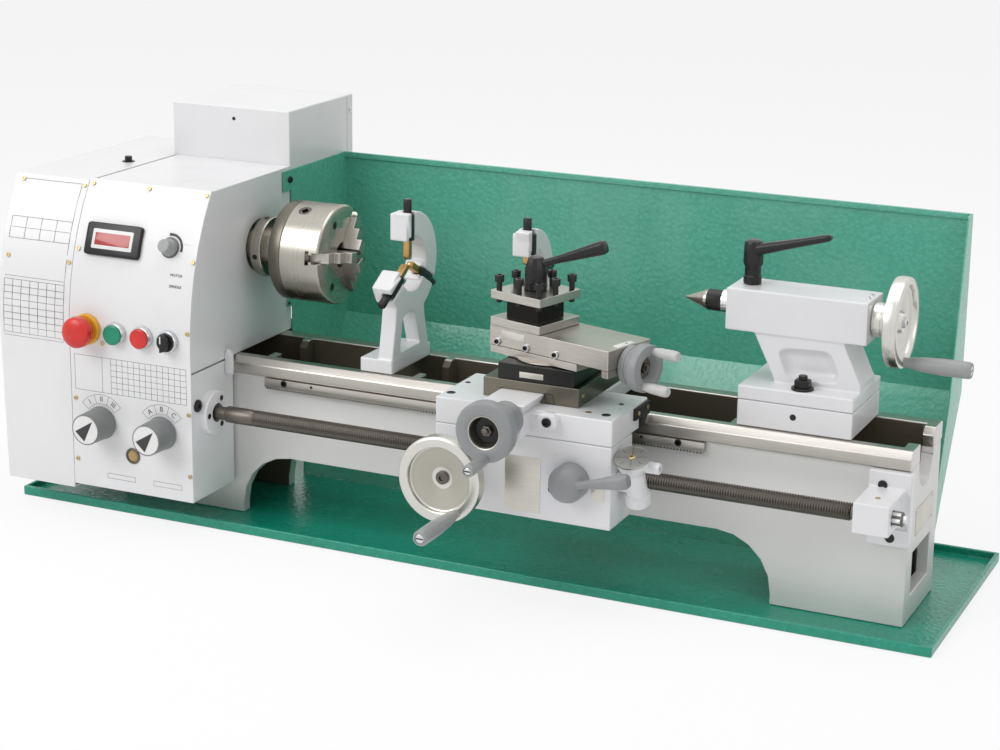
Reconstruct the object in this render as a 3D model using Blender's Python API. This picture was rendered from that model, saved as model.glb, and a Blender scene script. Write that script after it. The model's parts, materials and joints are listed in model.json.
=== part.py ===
"""A bench metal lathe: drip tray, splash guard, cast bed, geared headstock with chuck and
leadscrew, carriage with cross slide and swivelled top slide, two work rests and a tailstock.

Sizes are millimetres. X runs along the bed from the headstock's right face, Y runs away
from the operator from the spindle axis, and Z rises from the underside of the tray.
"""

import math

import bmesh
import bpy
from mathutils import Matrix, Vector

MM = 0.001
GAP = 0.3
SIDES = 32

# Bed and ways
BED_LEFT, BED_RIGHT = -165.0, 846.0
BED_FOOT_Z, BED_TOP_Z = 3.3, 205.0
RAIL_HALF, RAIL_WIDTH, RAIL_DEPTH, RAIL_BEVEL = 67.5, 37.5, 21.0, 8.0
WEB_OUTER, WEB_THICK, END_WALL, RIB_THICK, RIB_COUNT = 63.5, 15.0, 14.0, 10.0, 4
LEFT_FOOT_RIGHT, RIGHT_FOOT_LENGTH, ARCH_TOP_Z, ARCH_RADIUS = 10.0, 153.0, 82.0, 66.0
END_WINDOW_HALF, END_WINDOW_Z, END_TROUGH_HALF, END_TROUGH_DEPTH = 38.0, (33.0, 82.0), 30.0, 56.0

# Spindle line
CENTRE_HEIGHT = 125.0
AXIS_Z = BED_TOP_Z + CENTRE_HEIGHT

# Tray and guard
TRAY_LEFT, TRAY_RIGHT, TRAY_FRONT, TRAY_BACK = -278.0, BED_RIGHT + 48.0, -125.0, 196.0
TRAY_SHEET, TRAY_RIM_Z, TRAY_RIM = 3.0, 12.0, 5.0
GUARD_SHEET, GUARD_LEFT, GUARD_RIGHT = 1.5, 1.0, BED_RIGHT - 16.0
GUARD_BACK, GUARD_FRONT, GUARD_TOP_Z, GUARD_BEND_Z = 220.0, 56.0, AXIS_Z + 82.0, BED_TOP_Z - 9.0
GUARD_FOOT_Y, GUARD_FOOT_Z, GUARD_FLANGE, GUARD_FLANGE_LOW = 102.0, TRAY_SHEET + GAP, 20.0, 58.0
GUARD_HEM = 7.0

# Headstock
HEAD_LENGTH, HEAD_TOP_Z, HEAD_BACK, HEAD_BOTTOM_Z = 165.0, AXIS_Z + 87.0, 76.0, 44.0
FRONT_DEPTH, FRONT_CURVE_START_Z, FRONT_CURVE_RADIUS = 163.0, BED_TOP_Z + 30.0, 330.0
PANEL_SHEET, PANEL_LEFT = 2.0, -169.0
HEAD_WALL, BEARING_RADIUS = 20.0, 32.0
GEARBOX_WALL = 16.0
BOX_FRONT, BOX_BACK, BOX_LEFT, BOX_TOP_RISE = HEAD_BACK + GAP, 242.0, -171.0, 68.0
BOX_BOTTOM_Z, BOX_SHEET = BED_TOP_Z + 45.0, 2.5
COVER_LEFT, COVER_RIGHT, COVER_BACK, COVER_BOTTOM_Z, COVER_SHEET = -281.0, -171.5, 180.0, 38.0, 2.5
HINGE_X, HINGE_Y = COVER_RIGHT - 1.5, COVER_BACK + 2.0

# Spindle, chuck and drive
SPINDLE_LEFT, SPINDLE_RADIUS, SPINDLE_BORE = -235.0, 20.0, 13.0
NOSE_FLANGE, NOSE_FLANGE_RADIUS, NOSE_RADIUS = (8.0, 21.0), 36.0, 24.0
PLATE_X, CHUCK_FACE_X, CHUCK_RADIUS, CHUCK_BORE = (46.0, 62.0), 115.6, 61.0, 15.0
JAW_WIDTH, JAW_SLOT_DEPTH, JAW_TIP, JAW_LENGTH = 13.0, 18.0, 6.0, 42.0
JAW_STEPS = ((42.0, 8.0), (28.0, 16.0), (14.0, 24.0))
JAW_ANGLE = math.radians(174.0)
KEY_SOCKET_RADIUS, KEY_SOCKET_DEPTH, KEY_SOCKET_X = 8.0, 14.0, 79.0
GEAR_MODULE, GEAR_X = 2.5, (-205.0, -193.0)
SPINDLE_TEETH, SCREW_TEETH = 24, 24
IDLER_STUD_RADIUS = 8.0
PULLEY_X, SPINDLE_PULLEY_RADIUS, MOTOR_PULLEY_RADIUS, BELT_THICK = (-230.0, -212.0), 40.0, 22.0, 4.0
MOTOR_Y, MOTOR_Z, MOTOR_RADIUS, MOTOR_X, MOTOR_SHAFT = 130.0, BED_TOP_Z - 55.0, 52.0, (-150.0, -8.0), 8.0

# Leadscrew
SCREW_Y, SCREW_Z, SCREW_RADIUS, SCREW_CORE = -120.0, BED_TOP_Z - 57.0, 10.0, 8.0
SCREW_LEFT, SCREW_SLEEVE_RIGHT, SCREW_RIGHT = -210.0, 26.0, BED_RIGHT + 8.0
BRACKET_X, BRACKET_Z = (BED_RIGHT - 44.0, BED_RIGHT + 4.0), (BED_TOP_Z - 89.0, BED_TOP_Z - 22.0)
BRACKET_BLOCK_Z, BRACKET_BLOCK_FRONT = 17.0, 18.0
RACK_X, RACK_Z, RACK_THICK = (46.0, 612.0), (BED_TOP_Z - 35.0, BED_TOP_Z - 22.0), 7.0
SCREW_DISTANCE = math.hypot(SCREW_Y, AXIS_Z - SCREW_Z)
IDLER_TEETH = math.ceil(SCREW_DISTANCE / GEAR_MODULE - (SPINDLE_TEETH + SCREW_TEETH) / 2)

# Carriage
CARRIAGE_X, SADDLE_LENGTH = 433.0, 214.0
SADDLE_FRONT, SADDLE_BACK, SADDLE_WING, SADDLE_BOTTOM_Z = -168.0, 85.0, 20.0, BED_TOP_Z - 10.0
WING_BACK, BRIDGE_HALF, REAR_WING_LENGTH, REAR_WING_FRONT = -62.0, 59.5, 26.0, 26.0
APRON_BACK, APRON_BOTTOM_Z, APRON_WALL = -106.0, BED_TOP_Z - 106.0, 9.0
CROSS_X, DOVETAIL_TOP_HALF, DOVETAIL_LEAN = CARRIAGE_X - 3.0, 26.6, 6.5
DOVETAIL_RISE, DOVETAIL_NOSE = 11.0, 27.0
DOVETAIL_X, CROSS_WHEEL_X, CROSS_WHEEL_RADIUS, CROSS_WHEEL_REACH = CROSS_X - 10.0, CROSS_X - 2.0, 34.0, 64.0
CROSS_SCREW_DROP = 3.5
CARRIAGE_WHEEL_X, CARRIAGE_WHEEL_Z = 364.0, BED_TOP_Z - 53.0
CARRIAGE_WHEEL_RADIUS, CARRIAGE_WHEEL_REACH = 49.5, 70.0
NUT_LEVER_X, NUT_LEVER_Z, NUT_LEVER_LENGTH = 494.0, BED_TOP_Z - 54.0, 78.0
DIAL_Y, DIAL_RADIUS, DIAL_TOP_Z, DIAL_LEAN = -136.0, 20.0, BED_TOP_Z - 14.0, math.radians(22.0)
DIAL_X = CARRIAGE_X + SADDLE_LENGTH / 2 + DIAL_RADIUS + 2 * GAP

# Cross slide and compound
CROSS_HALF, CROSS_FRONT, CROSS_BACK, CROSS_HEIGHT = 58.0, -140.0, 40.0, 21.7
SWIVEL_X, SWIVEL_Y, SWIVEL_HALF, SWIVEL_HEIGHT = CROSS_X + 5.5, -93.5, 46.0, 18.7
COMPOUND_TURN = math.radians(-16.0)
TOP_SLIDE_START, TOP_SLIDE_LENGTH, TOP_SLIDE_WIDTH, TOP_SLIDE_HEIGHT = -64.5, 170.0, 76.0, 22.5
TOP_SLIDE_OFFSET, TOP_DISC_RADIUS, TOP_DISC_HEIGHT = 4.5, 42.0, 1.2
TOP_BASE_HEIGHT, TOP_BASE_LENGTH = 8.5, 126.5
TOP_DOVETAIL_HALF, TOP_DOVETAIL_RISE, END_PLATE = 20.0, 11.0, 9.0
TOP_WHEEL_RADIUS, TOP_WHEEL_BELOW, TOP_COLLAR_LENGTH = 27.0, 22.0, 13.5
POST_SIDE, POST_NECK, POST_PLATE, POST_SLOT = 72.0, 46.0, 10.0, 21.0
POST_TURN, POST_ALONG, POST_ACROSS = COMPOUND_TURN, -26.8, 1.1
POST_LEVER_REACH = 87.0

# Rests
STEADY_X, STEADY_OUTER, STEADY_INNER, STEADY_FINGER_X = (193.0, 213.0), 63.0, 33.0, 204.5
STEADY_HOLDER_X, STEADY_HOLDER = (187.0, 210.0), (28.0, 60.5)
STEADY_FOOT_X, STEADY_FOOT_Y, STEADY_FOOT_HEIGHT = (170.0, 213.0), (-56.0, 46.0), 17.0
FINGER_RADIUS, FINGER_TIP, FINGER_LENGTH, HOLDER_WIDTH = 4.5, 4.0, 74.0, 24.0
FOLLOW_X, FOLLOW_OUTER, FOLLOW_INNER, FOLLOW_TIP = (352.0, 370.0), 58.0, 34.0, 14.0
FOLLOW_FINGER_X, FOLLOW_HOLDER_X, FOLLOW_HOLDER = 361.0, (347.0, 369.0), (26.0, 53.0)

# Tailstock
TAIL_X, TAIL_HALF, TAIL_BASE_HEIGHT, TAIL_FLANGE = (643.0, 775.0), 55.0, 30.0, 16.0
BARREL_X, BARREL_HALF, BARREL_HEIGHT, NECK_X, NECK_LEAN = (617.0, 779.0), 30.0, 48.0, (649.0, 752.0), 23.5
QUILL_RADIUS, QUILL_TIP_X, QUILL_COLLAR_X, QUILL_RIGHT = 14.0, 557.7, (586.0, 604.0), 776.0
TAIL_WHEEL_X, TAIL_WHEEL_RADIUS = (799.5, 815.5), 51.0


# ---- materials ----

def finish(name, colour, roughness, metallic=0.0):
    """A Principled material of one colour."""
    made = bpy.data.materials.new(name)
    made.use_nodes = True
    shader = made.node_tree.nodes["Principled BSDF"]
    shader.inputs["Base Color"].default_value = (*colour, 1.0)
    shader.inputs["Roughness"].default_value = roughness
    shader.inputs["Metallic"].default_value = metallic
    return made


FINISHES = {
    "white": ((0.86, 0.86, 0.87), 0.4, 0.0),
    "green": ((0.05, 0.33, 0.22), 0.45, 0.0),
    "steel": ((0.55, 0.53, 0.5), 0.3, 1.0),
    "dark steel": ((0.16, 0.14, 0.12), 0.4, 1.0),
    "black": ((0.03, 0.03, 0.03), 0.45, 0.0),
    "grey": ((0.38, 0.39, 0.4), 0.5, 0.0),
    "chrome": ((0.8, 0.8, 0.82), 0.12, 1.0),
    "bronze": ((0.6, 0.36, 0.16), 0.35, 1.0),
    "rubber": ((0.03, 0.03, 0.03), 0.8, 0.0),
    "red": ((0.7, 0.03, 0.02), 0.35, 0.0),
    "green button": ((0.0, 0.3, 0.15), 0.35, 0.0),
}


# ---- shapes, all as bmesh in millimetres ----

def block(x, y, z):
    """A box between three pairs of limits."""
    shape = bmesh.new()
    bmesh.ops.create_cube(shape, size=1.0)
    for vert in shape.verts:
        for axis, (low, high) in enumerate((x, y, z)):
            vert.co[axis] = low + (vert.co[axis] + 0.5) * (high - low)
    return shape


def prism(outline, axis, low, high):
    """An outline carried straight along an axis. It holds (y, z), (x, z) or (x, y) pairs."""
    shape = bmesh.new()
    place = {
        "X": lambda a, b: (low, a, b),
        "Y": lambda a, b: (a, low, b),
        "Z": lambda a, b: (a, b, low),
    }[axis]
    face = shape.faces.new([shape.verts.new(place(*pair)) for pair in outline])
    made = bmesh.ops.extrude_face_region(shape, geom=[face])
    step = Vector([high - low if axis == name else 0.0 for name in "XYZ"])
    moved = [item for item in made["geom"] if isinstance(item, bmesh.types.BMVert)]
    bmesh.ops.translate(shape, verts=moved, vec=step)
    bmesh.ops.recalc_face_normals(shape, faces=shape.faces)
    return shape


def turned(profile, axis, centre, sides=SIDES, bored=False):
    """A profile of (position, radius) pairs turned about a line. A bored one joins its two ends."""
    shape = bmesh.new()
    rings = []
    for position, radius in profile:
        ring = []
        for step in range(sides):
            angle = math.tau * step / sides
            a, b = radius * math.cos(angle), radius * math.sin(angle)
            local = {"X": (position, a, b), "Y": (a, position, b), "Z": (a, b, position)}[axis]
            ring.append(shape.verts.new(Vector(local) + Vector(centre)))
        rings.append(ring)
    pairs = list(zip(rings, rings[1:]))
    if bored:
        pairs.append((rings[-1], rings[0]))
    else:
        shape.faces.new(rings[0])
        shape.faces.new(rings[-1])
    for first, second in pairs:
        for step in range(sides):
            after = (step + 1) % sides
            shape.faces.new((first[step], first[after], second[after], second[step]))
    bmesh.ops.recalc_face_normals(shape, faces=shape.faces)
    return shape


def rod(axis, centre, low, high, radius, sides=SIDES):
    """A plain cylinder along an axis."""
    return turned([(low, radius), (high, radius)], axis, centre, sides)


def tube(axis, centre, low, high, outer, inner, sides=SIDES):
    """A plain ring or pipe along an axis."""
    profile = [(low, outer), (high, outer), (high, inner), (low, inner)]
    return turned(profile, axis, centre, sides, bored=True)


def moved(shape, matrix):
    """The same shape after a transform."""
    bmesh.ops.transform(shape, matrix=matrix, verts=shape.verts)
    return shape


def about(point, turn, axis):
    """A turn about an axis through a point."""
    return Matrix.Translation(point) @ Matrix.Rotation(turn, 4, axis) @ Matrix.Translation(-Vector(point))


def together(*shapes):
    """Several shapes that don't touch, as one cutter."""
    joined = bmesh.new()
    for shape in shapes:
        mesh = bpy.data.meshes.new("joining")
        shape.to_mesh(mesh)
        joined.from_mesh(mesh)
        bpy.data.meshes.remove(mesh)
    return joined


def arc(centre, radius, start, end, steps):
    """Points along an arc, with its angles in degrees."""
    angles = [math.radians(start + (end - start) * step / steps) for step in range(steps + 1)]
    return [(centre[0] + radius * math.cos(a), centre[1] + radius * math.sin(a)) for a in angles]


# ---- objects ----

def mesh_object(name, shape, pivot):
    """An object with its origin at a pivot and its mesh in metres."""
    moved(shape, Matrix.Scale(MM, 4) @ Matrix.Translation(-Vector(pivot)))
    mesh = bpy.data.meshes.new(name)
    shape.to_mesh(mesh)
    shape.free()
    made = bpy.data.objects.new(name, mesh)
    made.location = Vector(pivot) * MM
    bpy.context.collection.objects.link(made)
    return made


def part(name, shape, finish_name, pivot=(0.0, 0.0, 0.0)):
    """A named sub-part with a material of its own."""
    made = mesh_object(name, shape, pivot)
    made.data.materials.append(finish(name + " " + finish_name, *FINISHES[finish_name]))
    made.data.shade_smooth()
    made.data.set_sharp_from_angle(angle=math.radians(30))
    return made


def combine(target, shape, operation):
    """Cuts a shape from a sub-part, or joins it on."""
    helper = mesh_object(target.name + " helper", shape, (0.0, 0.0, 0.0))
    helper.hide_render = True
    helper.display_type = "WIRE"
    change = target.modifiers.new(operation.lower(), "BOOLEAN")
    change.operation = operation
    change.solver = "EXACT"
    change.object = helper
    return target


def cut(target, *shapes):
    """Cuts shapes that don't touch each other from a sub-part."""
    return combine(target, together(*shapes), "DIFFERENCE")


def join(target, shape):
    """Joins a shape that overlaps a sub-part."""
    return combine(target, shape, "UNION")


# ---- tray, guard and bed ----

def make_tray():
    """A folded sheet tray with an upright rim."""
    tray = part(
        "drip_tray", block((TRAY_LEFT, TRAY_RIGHT), (TRAY_FRONT, TRAY_BACK), (0, TRAY_RIM_Z)), "green"
    )
    inside = block(
        (TRAY_LEFT + TRAY_RIM, TRAY_RIGHT - TRAY_RIM),
        (TRAY_FRONT + TRAY_RIM, TRAY_BACK - TRAY_RIM),
        (TRAY_SHEET, TRAY_RIM_Z + 5),
    )
    cut(tray, inside)


def make_guard():
    """A back wall that slopes forward at its foot, with a wing at the left and a flange at the right."""
    outer = [
        (GUARD_BACK, GUARD_TOP_Z), (GUARD_BACK, GUARD_BEND_Z), (GUARD_FOOT_Y, GUARD_FOOT_Z),
        (GUARD_FOOT_Y - GUARD_SHEET, GUARD_FOOT_Z), (GUARD_BACK - GUARD_SHEET, GUARD_BEND_Z),
        (GUARD_BACK - GUARD_SHEET, GUARD_TOP_Z - GUARD_HEM),
        (GUARD_BACK - 3 * GUARD_SHEET, GUARD_TOP_Z - GUARD_HEM),
        (GUARD_BACK - 3 * GUARD_SHEET, GUARD_TOP_Z),
    ]
    guard = part("splash_guard", prism(outer, "X", GUARD_LEFT, GUARD_RIGHT), "green")
    front, tab = HEAD_BACK - 1, GUARD_FRONT + 8
    wing = [
        (GUARD_BACK, GUARD_TOP_Z), (GUARD_FRONT, GUARD_TOP_Z), (GUARD_FRONT, GUARD_TOP_Z - 26),
        (front, GUARD_TOP_Z - 26), (front, GUARD_BEND_Z + 51), (tab, GUARD_BEND_Z + 51),
        (tab, GUARD_BEND_Z + 40),
        (front, GUARD_BEND_Z + 40), (front, GUARD_FOOT_Z + 90), (GUARD_FOOT_Y, GUARD_FOOT_Z + 30),
        (GUARD_FOOT_Y, GUARD_FOOT_Z), (GUARD_BACK, GUARD_BEND_Z),
    ]
    join(guard, prism(wing, "X", GUARD_LEFT - 0.4, GUARD_LEFT + GUARD_SHEET))
    flange = [
        (GUARD_BACK, GUARD_TOP_Z), (GUARD_BACK - GUARD_FLANGE, GUARD_TOP_Z),
        (GUARD_BACK - GUARD_FLANGE_LOW, GUARD_BEND_Z), (GUARD_FOOT_Y, GUARD_FOOT_Z + 30),
        (GUARD_FOOT_Y, GUARD_FOOT_Z), (GUARD_BACK, GUARD_BEND_Z),
    ]
    join(guard, prism(flange, "X", GUARD_RIGHT - GUARD_SHEET, GUARD_RIGHT + 0.4))


def make_bed():
    """A cast bed: a block arched below, hollow between its two webs, with a beveled rail on each web."""
    right_foot = BED_RIGHT - RIGHT_FOOT_LENGTH
    low, high = BED_FOOT_Z, BED_TOP_Z - RAIL_DEPTH + 1
    side = [(BED_LEFT, low), (LEFT_FOOT_RIGHT, low)]
    side += arc((LEFT_FOOT_RIGHT + ARCH_RADIUS, ARCH_TOP_Z - ARCH_RADIUS), ARCH_RADIUS, 180, 90, 5)
    side += arc((right_foot - ARCH_RADIUS, ARCH_TOP_Z - ARCH_RADIUS), ARCH_RADIUS, 90, 0, 5)
    side += [(right_foot, low), (BED_RIGHT, low), (BED_RIGHT, high), (BED_LEFT, high)]
    bed = part("bed", prism(side, "Y", -WEB_OUTER, WEB_OUTER), "white")
    for front in (-RAIL_HALF, RAIL_HALF - RAIL_WIDTH):
        rail = [
            (front, BED_TOP_Z - RAIL_DEPTH), (front, BED_TOP_Z - RAIL_BEVEL), (front + RAIL_BEVEL, BED_TOP_Z),
            (front + RAIL_WIDTH, BED_TOP_Z), (front + RAIL_WIDTH, BED_TOP_Z - RAIL_DEPTH),
        ]
        join(bed, prism(rail, "X", BED_LEFT + 0.1, BED_RIGHT - 0.1))
    inner = WEB_OUTER - WEB_THICK
    first, last = BED_LEFT + END_WALL, BED_RIGHT - END_WALL
    bay = (last - first - RIB_COUNT * RIB_THICK) / (RIB_COUNT + 1)
    bays = []
    for number in range(RIB_COUNT + 1):
        start = first + number * (bay + RIB_THICK)
        bays.append(block((start, start + bay), (-inner, inner), (low - 5, BED_TOP_Z + 5)))
    cut(bed, *bays)
    gap = RAIL_HALF - RAIL_WIDTH
    channel = block((BED_LEFT - 5, BED_RIGHT + 5), (-gap, gap), (BED_TOP_Z - RAIL_DEPTH - 8, BED_TOP_Z + 5))
    trough_z = BED_TOP_Z - END_TROUGH_DEPTH
    trough = arc((0, trough_z + END_TROUGH_HALF), END_TROUGH_HALF, 180, 360, 8)
    trough += [(END_TROUGH_HALF, BED_TOP_Z - 20), (-END_TROUGH_HALF, BED_TOP_Z - 20)]
    window = block((last - 5, BED_RIGHT + 5), (-END_WINDOW_HALF, END_WINDOW_HALF), END_WINDOW_Z)
    cut(bed, channel)
    cut(bed, prism(trough, "X", last - 5, BED_RIGHT + 5), window)


def make_rack():
    """The plain bar of the rack under the front rail."""
    back = -WEB_OUTER - GAP
    part("rack", block(RACK_X, (back - RACK_THICK, back), RACK_Z), "steel")


# ---- headstock ----

def front_y(z, inset=0.0):
    """How far forward the headstock's curved front stands at a height."""
    rise = max(0.0, z - FRONT_CURVE_START_Z)
    lean = FRONT_CURVE_RADIUS - math.sqrt(FRONT_CURVE_RADIUS ** 2 - rise ** 2)
    return lean + inset - FRONT_DEPTH


def front_tilt(z):
    """How far the curved front leans back at a height, as an angle."""
    return math.asin(max(0.0, z - FRONT_CURVE_START_Z) / FRONT_CURVE_RADIUS)


def front_outline(bottom, top, inset=0.0):
    """Points up the curved front, from bottom to top."""
    levels = [bottom]
    if bottom < FRONT_CURVE_START_Z:
        levels.append(FRONT_CURVE_START_Z)
    start = levels[-1]
    levels += [start + (top - start) * step / 6 for step in range(1, 7)]
    return [(front_y(z, inset), z) for z in levels]


def stem_holes(wanted):
    """One hole through the front for each wanted control's stem."""
    radius = STEM_RADIUS + STEM_CLEARANCE
    return [on_front(rod("Y", (x, 0, 0), -30, 30, radius, 12), z) for x, z in CONTROLS.values() if wanted(z)]


def on_front(shape, z):
    """Moves a shape made round the Y axis to the front at a height, square to its surface."""
    return moved(shape, Matrix.Translation((0, front_y(z), z)) @ Matrix.Rotation(-front_tilt(z), 4, "X"))


CONTROLS = {
    "emergency_stop": (-145.0, BED_TOP_Z + 38.5),
    "start_button": (-104.0, BED_TOP_Z + 37.5),
    "stop_button": (-66.0, BED_TOP_Z + 37.5),
    "direction_switch": (-30.0, BED_TOP_Z + 37.0),
    "speed_knob": (-38.0, AXIS_Z + 21.0),
    "left_gear_knob": (-128.0, BED_TOP_Z - 77.0),
    "right_gear_knob": (-42.0, BED_TOP_Z - 78.0),
}
STEM_RADIUS, STEM_CLEARANCE = 5.0, 0.5


def idler_centre():
    """Where the idler gear meshes with both the spindle gear and the leadscrew gear."""
    near = GEAR_MODULE * (SPINDLE_TEETH + IDLER_TEETH) / 2
    far = GEAR_MODULE * (SCREW_TEETH + IDLER_TEETH) / 2
    spindle, screw = Vector((0, AXIS_Z)), Vector((SCREW_Y, SCREW_Z))
    line = screw - spindle
    along = (near ** 2 - far ** 2 + line.length ** 2) / (2 * line.length)
    aside = math.sqrt(near ** 2 - along ** 2)
    unit = line.normalized()
    return spindle + unit * along + Vector((-unit.y, unit.x)) * aside


def make_headstock():
    """The upper casting, with a bay behind the panel and one below, and a bore for the bearings."""
    bottom, top = BED_TOP_Z + GAP, HEAD_TOP_Z
    inset = PANEL_SHEET + GAP
    outline = front_outline(bottom, top - 1, inset) + [(HEAD_BACK, top - 1), (HEAD_BACK, bottom)]
    casting = part("headstock_casting", prism(outline, "X", -HEAD_LENGTH, 0), "white")
    inside = (HEAD_WALL - HEAD_LENGTH, -HEAD_WALL)
    ring = BEARING_RADIUS + 18
    cut(
        casting,
        block(inside, (-FRONT_DEPTH - 5, -ring), (bottom + 12, top - 14)),
        block(inside, (-ring + 12, ring), (bottom - 5, AXIS_Z - ring)),
        rod("X", (0, 0, AXIS_Z), -HEAD_LENGTH - 5, 5, BEARING_RADIUS + GAP),
    )
    cut(casting, *stem_holes(lambda z: z > BED_TOP_Z))
    stud_y, stud_z = idler_centre()
    join(casting, rod("X", (0, stud_y, stud_z), GEAR_X[0] - 2, -HEAD_LENGTH + 2, IDLER_STUD_RADIUS, 16))


def make_gearbox():
    """The lower casting in front of the bed, open to the change gears at its left."""
    outline = [
        (-FRONT_DEPTH + PANEL_SHEET + GAP, HEAD_BOTTOM_Z), (-FRONT_DEPTH + PANEL_SHEET + GAP, BED_TOP_Z - 2)
    ]
    outline += [(-RAIL_HALF - GAP, BED_TOP_Z - 2), (-RAIL_HALF - GAP, HEAD_BOTTOM_Z)]
    casting = part("gearbox_casting", prism(outline, "X", -HEAD_LENGTH, 0), "white")
    inside = block(
        (-HEAD_LENGTH - 5, -GEARBOX_WALL), (-FRONT_DEPTH + 14, -RAIL_HALF - 12),
        (HEAD_BOTTOM_Z + 12, BED_TOP_Z - 14)
    )
    cut(casting, inside)
    cut(casting, rod("X", (0, SCREW_Y, SCREW_Z), -GEARBOX_WALL - 5, 5, SCREW_RADIUS + 1))
    cut(casting, *stem_holes(lambda z: z < BED_TOP_Z))


def make_panel():
    """The curved sheet that carries the controls."""
    top = HEAD_TOP_Z
    outline = front_outline(HEAD_BOTTOM_Z, top) + front_outline(HEAD_BOTTOM_Z, top, PANEL_SHEET)[::-1]
    panel = part("front_panel", prism(outline, "X", PANEL_LEFT, 0), "white")
    cut(panel, *stem_holes(lambda z: True))


def make_electrical_box():
    """A folded box behind the headstock, open underneath."""
    top = HEAD_TOP_Z + BOX_TOP_RISE
    box = part("electrical_box", block((BOX_LEFT, 0), (BOX_FRONT, BOX_BACK), (BOX_BOTTOM_Z, top)), "white")
    sheet = BOX_SHEET
    inside = block(
        (BOX_LEFT + sheet, -sheet), (BOX_FRONT + sheet, BOX_BACK - sheet), (BOX_BOTTOM_Z - 5, top - sheet)
    )
    cut(box, inside)


def make_end_cover():
    """The hinged cover over the gears and belt, open towards the headstock."""
    top = HEAD_TOP_Z - 2
    sheet = COVER_SHEET
    outer = front_outline(COVER_BOTTOM_Z, top) + [(COVER_BACK, top), (COVER_BACK, COVER_BOTTOM_Z)]
    inner = front_outline(COVER_BOTTOM_Z + sheet, top - sheet, sheet + 0.5)
    inner += [(COVER_BACK - sheet, top - sheet), (COVER_BACK - sheet, COVER_BOTTOM_Z + sheet)]
    pivot = (HINGE_X, HINGE_Y, AXIS_Z)
    cover = part("end_cover", prism(outer, "X", COVER_LEFT, COVER_RIGHT), "white", pivot)
    cut(cover, prism(inner, "X", COVER_LEFT + sheet, COVER_RIGHT + 5))


def turned_control(name, profile, finish_name, sides=24):
    """A control turned about its stem, standing on the front."""
    x, z = CONTROLS[name]
    shape = on_front(turned(profile, "Y", (x, 0, 0), sides), z)
    return part(name, shape, finish_name, (x, front_y(z), z))


def make_controls():
    """Stop, start, direction and speed controls and the two gear knobs."""
    stem = [(14, STEM_RADIUS), (-GAP, STEM_RADIUS)]
    turned_control(
        "emergency_stop",
        stem + [(-5, STEM_RADIUS), (-5, 9), (-14, 9), (-14, 17), (-19, 19), (-25, 18), (-30, 13), (-32, 6)], "red")
    for name, finish_name in (("start_button", "green button"), ("stop_button", "red")):
        turned_control(name, stem + [(-3, STEM_RADIUS), (-3, 9), (-10, 9), (-11, 7)], finish_name)
    turned_control("direction_switch", stem + [(-3, STEM_RADIUS), (-3, 11), (-16, 10)], "black")
    turned_control("speed_knob", stem + [(-1, STEM_RADIUS), (-1, 11), (-16, 9)], "grey")
    for name in ("left_gear_knob", "right_gear_knob"):
        turned_control(name, stem + [(-2, STEM_RADIUS), (-2, 20), (-36, 19)], "grey")


# ---- spindle, chuck and drive ----

def gear_shape(teeth, x, centre, phase):
    """A spur gear of slender tapered teeth, turned by a phase."""
    pitch = GEAR_MODULE * teeth / 2
    root, tip = pitch - 1.2 * GEAR_MODULE, pitch + 0.8 * GEAR_MODULE
    step = math.tau / teeth
    outline = []
    for tooth in range(teeth):
        middle = phase + tooth * step
        for share, radius in ((-0.23, root), (-0.1, tip), (0.1, tip), (0.23, root)):
            angle = middle + share * step
            outline.append((centre[0] + radius * math.cos(angle), centre[1] + radius * math.sin(angle)))
    return prism(outline, "X", *x)


def mesh_phase(teeth, phase, driven_teeth, towards):
    """The phase that puts a driven gear's gap where the driver's tooth meets it."""
    driver_step, driven_step = math.tau / teeth, math.tau / driven_teeth
    ahead = (towards - phase) / driver_step
    return towards + math.pi + driven_step * (ahead + 0.5)


def make_spindle():
    """The bored spindle with its nose flange and gear, its bearing cartridge and its pulley."""
    centre = (0, 0, AXIS_Z)
    profile = [
        (SPINDLE_LEFT, SPINDLE_RADIUS), (NOSE_FLANGE[0], SPINDLE_RADIUS),
        (NOSE_FLANGE[0], NOSE_FLANGE_RADIUS),
        (NOSE_FLANGE[1], NOSE_FLANGE_RADIUS), (NOSE_FLANGE[1], NOSE_RADIUS), (PLATE_X[1] - GAP, NOSE_RADIUS),
        (PLATE_X[1] - GAP, SPINDLE_BORE), (SPINDLE_LEFT, SPINDLE_BORE),
    ]
    spindle = part("spindle", turned(profile, "X", centre, bored=True), "steel", centre)
    gear = gear_shape(SPINDLE_TEETH, GEAR_X, (0, AXIS_Z), 0.0)
    join(spindle, gear)
    cut(spindle, rod("X", centre, GEAR_X[0] - 3, GEAR_X[1] + 3, SPINDLE_BORE))
    cartridge = [
        (-HEAD_LENGTH + 1, BEARING_RADIUS), (-2, BEARING_RADIUS), (-2, SPINDLE_RADIUS + 0.5),
        (-26, SPINDLE_RADIUS + 0.5), (-28, SPINDLE_RADIUS + 3), (-HEAD_LENGTH + 30, SPINDLE_RADIUS + 3),
        (-HEAD_LENGTH + 28, SPINDLE_RADIUS + 0.5), (-HEAD_LENGTH + 1, SPINDLE_RADIUS + 0.5),
    ]
    part("spindle_bearings", turned(cartridge, "X", centre, bored=True), "steel", centre)
    pulley = tube("X", centre, *PULLEY_X, SPINDLE_PULLEY_RADIUS, SPINDLE_RADIUS + GAP + 0.1)
    part("spindle_pulley", pulley, "dark steel", centre)


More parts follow.
